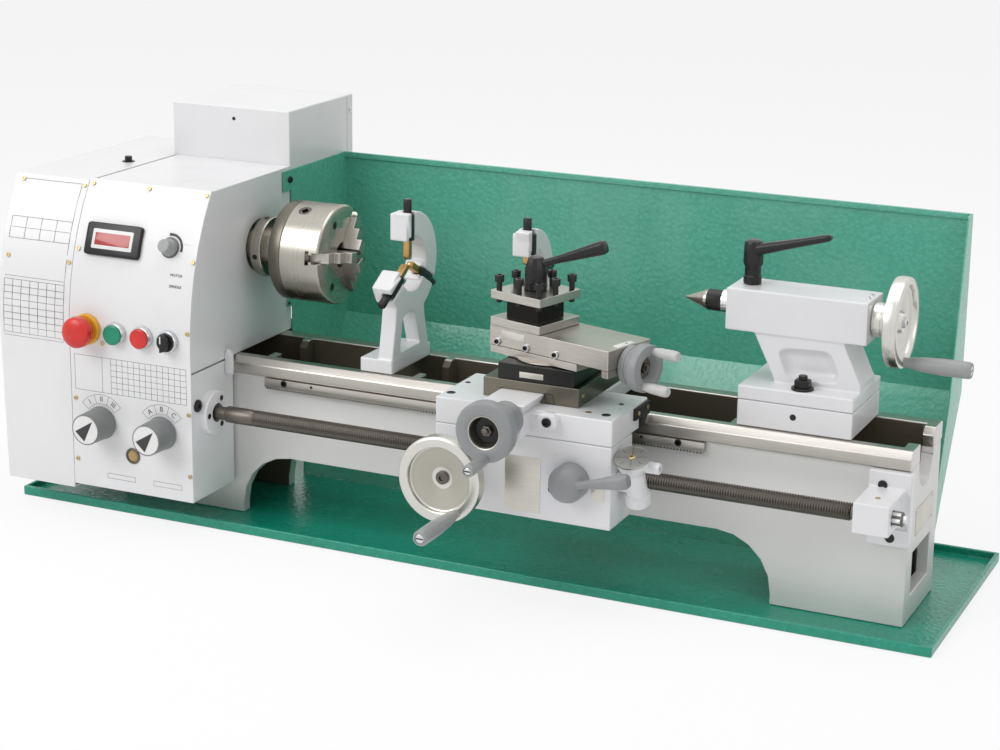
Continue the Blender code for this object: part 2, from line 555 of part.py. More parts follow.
def make_chuck():
    """A back plate, a slotted body with key sockets, and three stepped jaws."""
    centre = (0, 0, AXIS_Z)
    plate = tube("X", centre, *PLATE_X, CHUCK_RADIUS, NOSE_RADIUS + GAP + 0.1, 40)
    part("chuck_back_plate", plate, "steel", centre)
    body_x = (PLATE_X[1] + GAP, CHUCK_FACE_X)
    body = part("chuck_body", tube("X", centre, *body_x, CHUCK_RADIUS, CHUCK_BORE, 40), "steel", centre)
    slots, sockets = [], []
    half = JAW_WIDTH / 2 + GAP
    for number in range(3):
        turn = about(centre, JAW_ANGLE + number * math.tau / 3, "X")
        slot = block(
            (CHUCK_FACE_X - JAW_SLOT_DEPTH, CHUCK_FACE_X + 5), (1, CHUCK_RADIUS + 5),
            (AXIS_Z - half, AXIS_Z + half))
        slots.append(moved(slot, turn))
        turn = about(centre, JAW_ANGLE + (number + 0.5) * math.tau / 3, "X")
        socket = rod(
            "Y", (KEY_SOCKET_X, 0, AXIS_Z), CHUCK_RADIUS - KEY_SOCKET_DEPTH, CHUCK_RADIUS + 5,
            KEY_SOCKET_RADIUS, 16)
        sockets.append(moved(socket, turn))
    for slot in slots:
        cut(body, slot)
    cut(body, *sockets)
    for number in range(3):
        back = CHUCK_FACE_X - JAW_SLOT_DEPTH + GAP
        outline = [(JAW_TIP + JAW_LENGTH, back)]
        for reach, rise in JAW_STEPS:
            outline += [(JAW_TIP + reach, CHUCK_FACE_X + rise)]
            inner = [later for later, _ in JAW_STEPS if later < reach]
            outline += [(JAW_TIP + (inner[0] if inner else 0.0), CHUCK_FACE_X + rise)]
        outline += [(JAW_TIP, back)]
        turn = about(centre, JAW_ANGLE + number * math.tau / 3, "X")
        flat = [(x, radius) for radius, x in outline]
        jaw = moved(prism(flat, "Z", AXIS_Z - JAW_WIDTH / 2, AXIS_Z + JAW_WIDTH / 2), turn)
        part("chuck_jaw_%d" % (number + 1), jaw, "steel", centre)


def belt_outline(extra):
    """The loop round both pulleys, as two arcs that the straight runs join."""
    spindle, motor = Vector((0, AXIS_Z)), Vector((MOTOR_Y, MOTOR_Z))
    line = motor - spindle
    lean = math.degrees(math.atan2(line.y, line.x))
    spread = math.degrees(math.acos((SPINDLE_PULLEY_RADIUS - MOTOR_PULLEY_RADIUS) / line.length))
    outline = arc(spindle, SPINDLE_PULLEY_RADIUS + extra, lean + spread, lean + 360 - spread, 16)
    return outline + arc(motor, MOTOR_PULLEY_RADIUS + extra, lean - spread, lean + spread, 10)


def make_drive():
    """The motor, its shaft and pulley, the belt, the idler gear and the leadscrew with its gear."""
    motor_centre = (0, MOTOR_Y, MOTOR_Z)
    left, right = MOTOR_X
    profile = [(left, 30), (left + 8, MOTOR_RADIUS), (right - 8, MOTOR_RADIUS), (right, 34)]
    motor = part("motor", turned(profile, "X", motor_centre), "grey")
    foot = block((left + 30, right - 30), (WEB_OUTER + GAP, MOTOR_Y), (MOTOR_Z - 26, MOTOR_Z + 26))
    join(motor, foot)
    cut(motor, rod("X", motor_centre, left - 5, left + 30, MOTOR_SHAFT + 1, 16))
    shaft = [
        (left + 28, MOTOR_SHAFT), (PULLEY_X[1], MOTOR_SHAFT), (PULLEY_X[1], MOTOR_PULLEY_RADIUS),
        (PULLEY_X[0], MOTOR_PULLEY_RADIUS), (PULLEY_X[0], MOTOR_SHAFT), (PULLEY_X[0] - 4, MOTOR_SHAFT),
    ]
    part("motor_pulley", turned(shaft, "X", motor_centre), "dark steel", motor_centre)
    belt_x = (PULLEY_X[0] + 2, PULLEY_X[1] - 2)
    belt = part("drive_belt", prism(belt_outline(BELT_THICK + 0.6), "X", *belt_x), "rubber")
    cut(belt, prism(belt_outline(0.6), "X", belt_x[0] - 5, belt_x[1] + 5))
    idler = idler_centre()
    spindle, screw = Vector((0, AXIS_Z)), Vector((SCREW_Y, SCREW_Z))
    towards = math.atan2(idler.y - spindle.y, idler.x - spindle.x)
    idler_phase = mesh_phase(SPINDLE_TEETH, 0.0, IDLER_TEETH, towards)
    gear = part("idler_gear", gear_shape(IDLER_TEETH, GEAR_X, idler, idler_phase), "steel", (0, *idler))
    cut(gear, rod("X", (0, *idler), GEAR_X[0] - 5, GEAR_X[1] + 5, IDLER_STUD_RADIUS + 0.5, 16))
    towards = math.atan2(screw.y - idler.y, screw.x - idler.x)
    screw_phase = mesh_phase(IDLER_TEETH, idler_phase, SCREW_TEETH, towards)
    centre = (0, SCREW_Y, SCREW_Z)
    profile = [
        (SCREW_LEFT, SCREW_CORE), (SCREW_SLEEVE_RIGHT - 1, SCREW_CORE), (SCREW_SLEEVE_RIGHT, SCREW_RADIUS),
        (BRACKET_X[0] - 3, SCREW_RADIUS), (BRACKET_X[0] - 3, SCREW_CORE), (SCREW_RIGHT, SCREW_CORE),
    ]
    leadscrew = part("leadscrew", turned(profile, "X", centre, 20), "dark steel", centre)
    join(leadscrew, gear_shape(SCREW_TEETH, GEAR_X, screw, screw_phase))


def make_bracket():
    """The plate and block that hold the leadscrew's right end."""
    back = -WEB_OUTER - GAP
    bracket = part("leadscrew_bracket", block(BRACKET_X, (back - 12, back), BRACKET_Z), "white")
    front = SCREW_Y - BRACKET_BLOCK_FRONT
    middle = (SCREW_Z - BRACKET_BLOCK_Z, SCREW_Z + BRACKET_BLOCK_Z)
    join(bracket, block((BRACKET_X[0] + 1, BRACKET_X[1] - 7), (front, back - 8), middle))
    cut(bracket, rod("X", (0, SCREW_Y, SCREW_Z), BRACKET_X[0] - 5, BRACKET_X[1] + 5, SCREW_CORE + 0.5))


# ---- carriage ----

SADDLE_X = (CARRIAGE_X - SADDLE_LENGTH / 2, CARRIAGE_X + SADDLE_LENGTH / 2)
SADDLE_TOP_Z = BED_TOP_Z + SADDLE_WING
CROSS_SCREW_Z = SADDLE_TOP_Z - CROSS_SCREW_DROP
NOSE_FRONT = SADDLE_FRONT - DOVETAIL_NOSE


def dovetail(middle, low, high, top_half, lean, extra=0.0):
    """A dovetail's section, wider at its top than at its foot."""
    half, foot = top_half + extra, top_half - lean + extra
    return [(middle - foot, low), (middle + foot, low), (middle + half, high), (middle - half, high)]


def make_saddle():
    """The saddle, fitted over both rails, with the cross slide's dovetail on top."""
    clear, low = GAP + 0.3, BED_TOP_Z + GAP + 0.2
    outline = [
        (SADDLE_FRONT, SADDLE_BOTTOM_Z), (-RAIL_HALF - clear, SADDLE_BOTTOM_Z),
        (-RAIL_HALF - clear, BED_TOP_Z - RAIL_BEVEL + 0.5), (-RAIL_HALF + RAIL_BEVEL - 0.5, low),
        (RAIL_HALF + clear, low), (RAIL_HALF + clear, SADDLE_BOTTOM_Z), (SADDLE_BACK, SADDLE_BOTTOM_Z),
        (SADDLE_BACK, SADDLE_TOP_Z), (SADDLE_FRONT, SADDLE_TOP_Z),
    ]
    saddle = part("saddle", prism(outline, "X", *SADDLE_X), "white")
    nose_z = (SADDLE_TOP_Z - 26, SADDLE_TOP_Z)
    low, high, far = SADDLE_BOTTOM_Z - 20, SADDLE_TOP_Z + 5, SADDLE_BACK + 5
    left, right = CROSS_X - BRIDGE_HALF, CROSS_X + BRIDGE_HALF
    rear = left - REAR_WING_LENGTH
    notch = [
        (SADDLE_X[0] - 5, WING_BACK), (left, WING_BACK), (left, REAR_WING_FRONT), (rear, REAR_WING_FRONT),
        (rear, far), (SADDLE_X[0] - 5, far),
    ]
    cut(saddle, prism(notch, "Z", low, high), block((right, SADDLE_X[1] + 5), (WING_BACK, far), (low, high)))
    nose = block((DOVETAIL_X - 18, DOVETAIL_X + 24), (NOSE_FRONT, SADDLE_FRONT + 5), nose_z)
    join(saddle, nose)
    slide = dovetail(
        DOVETAIL_X, SADDLE_TOP_Z - 2, SADDLE_TOP_Z + DOVETAIL_RISE, DOVETAIL_TOP_HALF, DOVETAIL_LEAN
    )
    join(saddle, prism(slide, "Y", NOSE_FRONT + 2, SADDLE_BACK - 2))
    bore = rod("Y", (CROSS_WHEEL_X, 0, CROSS_SCREW_Z), NOSE_FRONT - 5, SADDLE_FRONT + 25, 6.5, 16)
    cut(saddle, bore)


def make_apron():
    """The apron under the saddle's front, open at its back."""
    top = SADDLE_BOTTOM_Z - GAP
    outline = [
        (SADDLE_FRONT, top), (APRON_BACK, top), (APRON_BACK, APRON_BOTTOM_Z), (SADDLE_FRONT, APRON_BOTTOM_Z)
    ]
    apron = part("apron", prism(outline, "X", *SADDLE_X), "white")
    wall = APRON_WALL
    cut(apron, block(
        (SADDLE_X[0] + wall, SADDLE_X[1] - wall), (SADDLE_FRONT + 14, APRON_BACK + 5),
        (APRON_BOTTOM_Z + wall, top - wall)
    ))
    cut(
        apron,
        rod("X", (0, SCREW_Y, SCREW_Z), SADDLE_X[0] - 5, SADDLE_X[0] + wall + 5, SCREW_RADIUS + 2, 20),
        rod("X", (0, SCREW_Y, SCREW_Z), SADDLE_X[1] - wall - 5, SADDLE_X[1] + 5, SCREW_RADIUS + 2, 20),
        rod("Y", (CARRIAGE_WHEEL_X, 0, CARRIAGE_WHEEL_Z), SADDLE_FRONT - 5, SADDLE_FRONT + 20, 8.5, 16),
        rod("Y", (NUT_LEVER_X, 0, NUT_LEVER_Z), SADDLE_FRONT - 5, SADDLE_FRONT + 20, 6.5, 16),
    )


def make_half_nut():
    """The nut that drops onto the leadscrew, held clear of it."""
    rise = 4.0
    low = SCREW_Z + rise
    nut = part("half_nut", block((478, 506), (SCREW_Y - 16, SCREW_Y + 14), (low, low + 22)), "bronze")
    cut(nut, rod("X", (0, SCREW_Y, SCREW_Z + rise), 470, 514, SCREW_RADIUS + 0.2, 20))


def make_nut_lever():
    """The half-nut lever: a domed hub on a spindle, with a tapered arm to the right."""
    pivot = (NUT_LEVER_X, SADDLE_FRONT, NUT_LEVER_Z)
    centre = (NUT_LEVER_X, 0, NUT_LEVER_Z)
    face = SADDLE_FRONT - GAP
    profile = [
        (SADDLE_FRONT + 18, 5.8), (face, 5.8), (face, 21), (face - 16, 21), (face - 30, 15), (face - 32, 9),
    ]
    lever = part("half_nut_lever", turned(profile, "Y", centre, 24), "grey", pivot)
    arm_profile = [(12, 4.5), (30, 4.5), (NUT_LEVER_LENGTH - 14, 8.5), (NUT_LEVER_LENGTH, 7.0)]
    arm = turned(arm_profile, "X", (0, 0, 0), 16)
    lift = Matrix.Translation((NUT_LEVER_X, face - 23, NUT_LEVER_Z)) @ Matrix.Rotation(math.radians(-13), 4, "Y")
    join(lever, moved(arm, lift))


def hand_wheel(axis, centre, face, depth, radius, hub, rim, web, outward):
    """A dished wheel: a thick rim, a thin web and a hub, with its outward side towards a sign."""
    deep = face - outward * depth
    profile = [
        (face, radius - 2), (face - outward * 2, radius), (deep + outward * 2, radius), (deep, radius - 2),
        (deep, radius - rim), (deep + outward * (depth - web) * 0.4, radius - rim - 2),
        (deep + outward * (depth - web) * 0.4, hub), (deep - outward * 4, hub),
        (deep - outward * 4, 1.0),
    ]
    front = face - outward * (depth - web) * 0.6
    profile = [(face - outward * 1, 1.0), (face - outward * 1, hub - 2), (front, hub), (front, radius - rim - 2),
               (face, radius - rim)] + profile
    return turned(profile, axis, centre, 36)


def wheel_grip(axis, start, end, base, wide):
    """A grip that turns on its pin, thin at its foot and wider towards its end."""
    step = end - start
    return [
        (start, base), (start + step * 0.12, base), (start + step * 0.3, wide * 0.82),
        (start + step * 0.8, wide),
        (end - step * 0.04, wide), (end, wide * 0.8),
    ]


def make_carriage_wheel():
    """The large dished wheel on the apron, with its shaft and revolving grip."""
    pivot = (CARRIAGE_WHEEL_X, SADDLE_FRONT, CARRIAGE_WHEEL_Z)
    centre = (CARRIAGE_WHEEL_X, 0, CARRIAGE_WHEEL_Z)
    face = SADDLE_FRONT - CARRIAGE_WHEEL_REACH
    wheel = part(
        "carriage_wheel",
        hand_wheel("Y", centre, face, 18, CARRIAGE_WHEEL_RADIUS, 16, 12, 8, -1), "steel", pivot)
    shaft = [(SADDLE_FRONT + 26, 8), (SADDLE_FRONT - GAP, 8), (SADDLE_FRONT - GAP, 17), (face + 12, 15)]
    join(wheel, turned(shaft, "Y", centre, 24))
    make_grip("carriage_grip", centre, CARRIAGE_WHEEL_RADIUS - 8, math.radians(-57), face, -90.0, 5.0, 9.0)


def make_grip(name, centre, radius, angle, face, length, base, wide):
    """A grip on a wheel's rim, its axis along Y."""
    x, z = centre[0] + radius * math.cos(angle), centre[2] + radius * math.sin(angle)
    start = face + math.copysign(GAP, length)
    shape = turned(wheel_grip("Y", start, face + length, base, wide), "Y", (x, 0, z), 16)
    part(name, shape, "grey", (x, face, z))


def make_cross_wheel():
    """The cross slide's wheel, with its graduated collar and screw, and its grip."""
    pivot = (CROSS_WHEEL_X, NOSE_FRONT, CROSS_SCREW_Z)
    centre = (CROSS_WHEEL_X, 0, CROSS_SCREW_Z)
    start, face, radius = NOSE_FRONT - GAP, NOSE_FRONT - CROSS_WHEEL_REACH, CROSS_WHEEL_RADIUS
    profile = [
        (SADDLE_FRONT + 20, 5.8), (start, 5.8), (start, 17), (start - 4, 20), (start - 26, 20),
        (start - 27, 17),
        (face + 22, 17), (face + 19, 30), (face + 15, radius), (face + 2, radius), (face, radius - 2),
        (face, 19),
        (face + 12, 16), (face + 12, 6),
    ]
    part("cross_wheel", turned(profile, "Y", centre, 36), "grey", pivot)
    make_grip("cross_grip", centre, radius - 4, math.radians(-86), face, -44.0, 5.0, 7.0)


def make_thread_dial():
    """The dial's housing on the apron's right side, and the dial, both leaning towards the operator."""
    centre = (DIAL_X, DIAL_Y, 0)
    top = DIAL_TOP_Z - 4
    lean = about((DIAL_X, DIAL_Y, top - 60), DIAL_LEAN, "X")
    profile = [
        (top - 62, 12), (top - 60, 15), (top - 48, 15), (top - 46, 12), (top - 18, 12), (top - 8, 17), (top, 18),
    ]
    housing = part("thread_dial_housing", moved(turned(profile, "Z", centre, 24), lean), "white")
    arm = block((SADDLE_X[1] + GAP, DIAL_X), (DIAL_Y - 16, DIAL_Y + 3), (top - 46, top - 24))
    join(housing, arm)
    cut(housing, moved(rod("Z", centre, top - 30, top + 5, 3.5, 12), lean))
    cut(housing, rod("X", (0, SCREW_Y, SCREW_Z), SADDLE_X[1] - 5, DIAL_X + 30, SCREW_RADIUS + 1, 20))
    dial = [
        (top - 25, 2.8), (top + GAP, 2.8), (top + GAP, DIAL_RADIUS), (top + 3, DIAL_RADIUS),
        (top + 4, DIAL_RADIUS - 1),
    ]
    pivot = lean @ Vector((DIAL_X, DIAL_Y, top))
    part("thread_dial", moved(turned(dial, "Z", centre, 24), lean), "steel", tuple(pivot))


# ---- cross slide, compound and tool post ----

CROSS_TOP_Z = SADDLE_TOP_Z + GAP + CROSS_HEIGHT
SWIVEL_TOP_Z = CROSS_TOP_Z + GAP + SWIVEL_HEIGHT
TOP_SLIDE_Z = SWIVEL_TOP_Z + GAP + TOP_DISC_HEIGHT + TOP_BASE_HEIGHT + GAP
TOP_SLIDE_TOP_Z = TOP_SLIDE_Z + TOP_SLIDE_HEIGHT
SWIVEL = (SWIVEL_X, SWIVEL_Y, SWIVEL_TOP_Z)


def swivelled(shape):
    """Places a shape made along X about the swivel at the compound's angle."""
    return moved(shape, Matrix.Translation((SWIVEL_X, SWIVEL_Y, 0)) @ Matrix.Rotation(COMPOUND_TURN, 4, "Z"))


def compound_point(along, across, z=0.0):
    """World place of a point given along and across the top slide from the swivel."""
    cosine, sine = math.cos(COMPOUND_TURN), math.sin(COMPOUND_TURN)
    return (SWIVEL_X + along * cosine - across * sine, SWIVEL_Y + along * sine + across * cosine, z)


def make_cross_slide():
    """The cross slide over its dovetail, and the swivel base bolted on it."""
    low = SADDLE_TOP_Z + GAP
    slide = part(
        "cross_slide",
        block((CROSS_X - CROSS_HALF, CROSS_X + CROSS_HALF), (CROSS_FRONT, CROSS_BACK), (low, CROSS_TOP_Z)),
        "steel")
    groove = dovetail(
        DOVETAIL_X, low - 2.5, SADDLE_TOP_Z + DOVETAIL_RISE + GAP, DOVETAIL_TOP_HALF,
        DOVETAIL_LEAN + 0.3, 0.6)
    cut(slide, prism(groove, "Y", CROSS_FRONT - 5, CROSS_BACK + 5))
    base_x = (SWIVEL_X - SWIVEL_HALF, SWIVEL_X + SWIVEL_HALF)
    base_y = (SWIVEL_Y - SWIVEL_HALF, SWIVEL_Y + SWIVEL_HALF)
    part("swivel_base", block(base_x, base_y, (CROSS_TOP_Z + GAP, SWIVEL_TOP_Z)), "black")


def make_top_slide():
    """The swivelling dovetail base, the top slide over it, and the slide's wheel."""
    low = SWIVEL_TOP_Z + GAP
    plate_z = low + TOP_DISC_HEIGHT
    dove_top = TOP_SLIDE_Z + TOP_DOVETAIL_RISE
    half = TOP_SLIDE_WIDTH / 2
    middle = TOP_SLIDE_OFFSET
    start, end = TOP_SLIDE_START, TOP_SLIDE_START + TOP_SLIDE_LENGTH
    disc = rod("Z", (0, 0, 0), low, plate_z + 1, TOP_DISC_RADIUS)
    base = part("top_slide_base", swivelled(disc), "steel", SWIVEL)
    plate = block(
        (start + 1, start + TOP_BASE_LENGTH), (middle - half, middle + half),
        (plate_z, plate_z + TOP_BASE_HEIGHT))
    join(base, swivelled(plate))
    tail = dovetail(middle, plate_z + TOP_BASE_HEIGHT - 2, dove_top, TOP_DOVETAIL_HALF, 5.0)
    join(base, swivelled(prism(tail, "X", start + 2, start + TOP_BASE_LENGTH - 1)))
    slide = part("top_slide", swivelled(block(
        (start, end), (middle - half, middle + half), (TOP_SLIDE_Z, TOP_SLIDE_TOP_Z)
    )), "steel", SWIVEL)
    wheel_z = TOP_SLIDE_TOP_Z - TOP_WHEEL_BELOW
    lug = block(
        (end - END_PLATE, end - 0.1), (middle - half + 0.1, middle + half - 0.1), (plate_z, TOP_SLIDE_Z + 4)
    )
    join(slide, swivelled(lug))
    groove = dovetail(middle, TOP_SLIDE_Z - 2, dove_top + GAP, TOP_DOVETAIL_HALF, 5.3, 0.6)
    cut(slide, swivelled(prism(groove, "X", start - 5, end - END_PLATE - 5)))
    cut(slide, swivelled(rod("X", (0, middle, wheel_z), end - 25, end + 5, 5.5, 16)))
    collar, rim = end + TOP_COLLAR_LENGTH, end + TOP_COLLAR_LENGTH + 14
    profile = [
        (end - 12, 4.8), (end + GAP, 4.8), (end + GAP, 22), (collar, 22), (collar, TOP_WHEEL_RADIUS - 2),
        (collar + 2, TOP_WHEEL_RADIUS), (rim - 2, TOP_WHEEL_RADIUS), (rim, TOP_WHEEL_RADIUS - 2), (rim, 15),
        (rim - 8, 12), (rim - 8, 4),
    ]
    pivot = compound_point(end, middle, wheel_z)
    wheel = part("top_slide_wheel", swivelled(turned(profile, "X", (0, middle, wheel_z), 32)), "grey", pivot)
    for angle in (math.radians(65), math.radians(245)):
        y, z = middle + 20 * math.cos(angle), wheel_z + 20 * math.sin(angle)
        grip = [(rim - 4, 4.0), (rim + 2, 4.0), (rim + 8, 5.5), (rim + 30, 6.0), (rim + 33, 5.0)]
        join(wheel, swivelled(turned(grip, "X", (0, y, z), 12)))


POST_CENTRE = compound_point(POST_ALONG, POST_ACROSS)
POST_LOW_Z = TOP_SLIDE_TOP_Z + GAP
POST_TOP_Z = POST_LOW_Z + 2 * POST_PLATE + POST_SLOT


def make_tool_post():
    """The four-way tool post and its clamping lever."""
    half, neck = POST_SIDE / 2, POST_NECK / 2
    place = Matrix.Translation((POST_CENTRE[0], POST_CENTRE[1], 0)) @ Matrix.Rotation(POST_TURN, 4, "Z")
    pivot = (POST_CENTRE[0], POST_CENTRE[1], POST_LOW_Z)
    body = moved(block((-half, half), (-half, half), (POST_LOW_Z, POST_TOP_Z)), place)
    post = part("tool_post", body, "steel", pivot)
    slot_z = (POST_LOW_Z + POST_PLATE, POST_LOW_Z + POST_PLATE + POST_SLOT)
    for x, y in (((-half - 5, half + 5), (-half - 5, -neck)), ((-half - 5, half + 5), (neck, half + 5))):
        cut(post, moved(block(x, y, slot_z), place))
        cut(post, moved(block(y, x, slot_z), place))
    low = POST_TOP_Z + GAP
    profile = [(low, 12.5), (low + 20, 13), (low + 24, 13), (low + 35, 9.5), (low + 37, 7)]
    centre = (POST_CENTRE[0], POST_CENTRE[1], 0)
    lever = part("tool_post_lever", turned(profile, "Z", centre, 20), "black", (centre[0], centre[1], low))
    arm = turned(
        [(4, 4.5), (26, 4.5), (POST_LEVER_REACH, 8.0), (POST_LEVER_REACH + 3, 6)], "X", (0, 0, 0), 14
    )
    lift = Matrix.Translation((centre[0], centre[1], low + 27)) @ Matrix.Rotation(math.radians(-20), 4, "Y")
    join(lever, moved(arm, lift))


# ---- rests ----

def finger(name, x, tip, length, angle, finish_name):
    """A round finger that points at the spindle axis."""
    centre = (x, 0, AXIS_Z)
    profile = [(tip, FINGER_RADIUS - 1), (tip + 2, FINGER_RADIUS), (tip + length, FINGER_RADIUS)]
    shape = moved(turned(profile, "Y", centre, 12), about(centre, angle, "X"))
    part(name, shape, finish_name, centre)


def finger_block(x, reach, angle):
    """The boss that holds a finger."""
    half = HOLDER_WIDTH / 2
    shape = block(x, reach, (AXIS_Z - half, AXIS_Z + half))
    return moved(shape, about((0, 0, AXIS_Z), angle, "X"))


def finger_slot(x, outer, angle):
    """The slot that guides a finger, open to the right."""
    half = FINGER_RADIUS + 0.5
    shape = block((x - half, x + 30), (18, outer + 10), (AXIS_Z - half, AXIS_Z + half))
    return moved(shape, about((0, 0, AXIS_Z), angle, "X"))


def make_steady_rest():
    """An open ring on legs over both rails, with three fingers."""
    x = STEADY_X
    middle = STEADY_FINGER_X
    ring = arc((0, AXIS_Z), STEADY_OUTER, 102, -162, 24) + arc((0, AXIS_Z), STEADY_INNER, -162, 102, 24)
    steady = part("steady_rest", prism(ring, "X", *x), "white")
    foot_top = BED_TOP_Z + GAP + STEADY_FOOT_HEIGHT
    front, back = STEADY_FOOT_Y
    waist = AXIS_Z - STEADY_OUTER + 12
    legs = [
        (front, foot_top - 5), (front + 9, waist - 20), (front + 12, waist), (front + 16, AXIS_Z - 30),
        (-24, AXIS_Z - 32), (0, AXIS_Z - 44), (22, AXIS_Z - 36), (back + 2, AXIS_Z - 30), (back - 18, waist),
        (back - 15, waist - 20), (back - 4, foot_top - 5),
    ]
    join(steady, prism(legs, "X", x[0] + 0.2, x[1] - 0.2))
    foot = block(STEADY_FOOT_X, STEADY_FOOT_Y, (BED_TOP_Z + GAP, foot_top))
    join(steady, foot)
    window = [
        (front + 22, foot_top + 6), (back - 27, foot_top + 6), (back - 40, waist - 12),
        (back - 52, waist - 7),
        (front + 38, waist - 7), (front + 29, waist - 12),
    ]
    cut(steady, prism(window, "X", x[0] - 5, x[1] + 5))
    angles = [math.radians(angle) for angle in (90, 210, 330)]
    for angle in angles:
        join(steady, finger_block(STEADY_HOLDER_X, STEADY_HOLDER, angle))
    for number, angle in enumerate(angles):
        cut(steady, finger_slot(middle, STEADY_OUTER, angle))
        finger("steady_finger_%d" % (number + 1), middle, FINGER_TIP, FINGER_LENGTH, angle, "bronze")


def make_follow_rest():
    """A half ring behind the work, on a foot at the saddle's back, with two fingers."""
    x = FOLLOW_X
    middle = FOLLOW_FINGER_X
    ring = arc((0, AXIS_Z), FOLLOW_OUTER, 105, -70, 12) + arc((0, AXIS_Z), FOLLOW_INNER, -70, 105, 12)
    follow = part("follow_rest", prism(ring, "X", *x), "white")
    low = SADDLE_TOP_Z + GAP
    leg = [
        (24, low), (SADDLE_BACK - 4, low), (SADDLE_BACK - 8, low + 18), (57, AXIS_Z - 14),
        (30, AXIS_Z - 36), (24, AXIS_Z - 48),
    ]
    join(follow, prism(leg, "X", x[0] + 0.2, x[1] - 0.2))
    angles = [math.radians(angle) for angle in (90, 0)]
    for angle in angles:
        join(follow, finger_block(FOLLOW_HOLDER_X, FOLLOW_HOLDER, angle))
    for number, angle in enumerate(angles):
        cut(follow, finger_slot(middle, FOLLOW_OUTER, angle))
        finger("follow_finger_%d" % (number + 1), middle, FOLLOW_TIP, 57.0, angle, "bronze")


# ---- tailstock ----

def make_tailstock():
    """The base on the rails, the upper casting with its barrel, and the pieces it carries."""
    low = BED_TOP_Z + GAP
    split = low + TAIL_BASE_HEIGHT
    part("tailstock_base", block(TAIL_X, (-TAIL_HALF, TAIL_HALF), (low, split)), "white")
    flange_z = (split + GAP, split + GAP + TAIL_FLANGE)
    body = part("tailstock_body", block(TAIL_X, (-TAIL_HALF, TAIL_HALF), flange_z), "white")
    barrel_z = (AXIS_Z - BARREL_HEIGHT / 2, AXIS_Z + BARREL_HEIGHT / 2)
    foot, head = flange_z[1], barrel_z[0]
    left, right = NECK_X
    neck = [
        (left, head + 2), (right, head + 2), (right + NECK_LEAN - 1, foot + 8),
        (right + NECK_LEAN - 1, foot - 2),
        (left + NECK_LEAN + 5, foot - 2), (left + NECK_LEAN, foot + 10),
    ]
    join(body, prism(neck, "Y", -BARREL_HALF + 2, BARREL_HALF - 2))
    join(body, block(BARREL_X, (-BARREL_HALF, BARREL_HALF), barrel_z))
    centre = (0, 0, AXIS_Z)
    cut(body, rod("X", centre, BARREL_X[0] - 5, BARREL_X[1] + 5, QUILL_RADIUS + 0.5))
    left, right = QUILL_COLLAR_X
    quill = [
        (QUILL_TIP_X, 0.6), (left - 4, QUILL_RADIUS - 3), (left, QUILL_RADIUS - 3), (left, QUILL_RADIUS),
        (right, QUILL_RADIUS), (BARREL_X[0] + 120, QUILL_RADIUS),
    ]
    part("quill", turned(quill, "X", centre, 28), "chrome", centre)
    lever_x = BARREL_X[0] + 20
    lever_low = barrel_z[1] + GAP
    pivot = (lever_x, 0, lever_low)
    profile = [
        (lever_low, 9), (lever_low + 22, 9), (lever_low + 24, 11), (lever_low + 47, 10), (lever_low + 50, 8)
    ]
    lever = part("quill_lock_lever", turned(profile, "Z", (lever_x, 0, 0), 16), "black", pivot)
    arm = turned([(4, 7.0), (70, 5.0), (96, 5.0), (98, 4.0)], "X", (0, 0, 0), 12)
    lift = Matrix.Translation((lever_x, 0, lever_low + 38)) @ Matrix.Rotation(math.radians(-9), 4, "Z")
    join(lever, moved(arm, lift @ Matrix.Rotation(math.radians(-16), 4, "Y")))
    face = TAIL_WHEEL_X[1]
    wheel = part(
        "tailstock_wheel",
        hand_wheel("X", centre, face, 16, TAIL_WHEEL_RADIUS, 15, 10, 7, 1), "chrome", centre)
    hub = [(BARREL_X[0] + 122, 6), (BARREL_X[1] + GAP, 6), (BARREL_X[1] + GAP, 18), (TAIL_WHEEL_X[0] + 4, 14)]
    join(wheel, turned(hub, "X", centre, 24))
    angle = math.radians(-100)
    y, z = 43 * math.cos(angle), AXIS_Z + 43 * math.sin(angle)
    grip = turned(wheel_grip("X", face + GAP, face + 76, 5.5, 9.5), "X", (0, y, z), 16)
    part("tailstock_grip", grip, "grey", (face, y, z))


def main():
    for old in list(bpy.data.objects):
        bpy.data.objects.remove(old)
    make_tray()
    make_guard()
    make_bed()
    make_rack()
    make_headstock()
    make_gearbox()
    make_panel()
    make_electrical_box()
    make_end_cover()
    make_controls()
    make_spindle()
    make_chuck()
    make_drive()
    make_bracket()
    make_saddle()
    make_apron()
    make_half_nut()
    make_nut_lever()
    make_carriage_wheel()
    make_cross_wheel()
    make_thread_dial()
    make_cross_slide()
    make_top_slide()
    make_tool_post()
    make_steady_rest()
    make_follow_rest()
    make_tailstock()


main()
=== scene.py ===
"""The look of a bench metal lathe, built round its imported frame.

Sizes are millimetres until a mesh is made. X runs along the bed to the tailstock, Y away
from the operator and Z up, as in the frame.
"""

import json
import math

import bmesh
import bpy
import numpy as np
from mathutils import Matrix, Vector

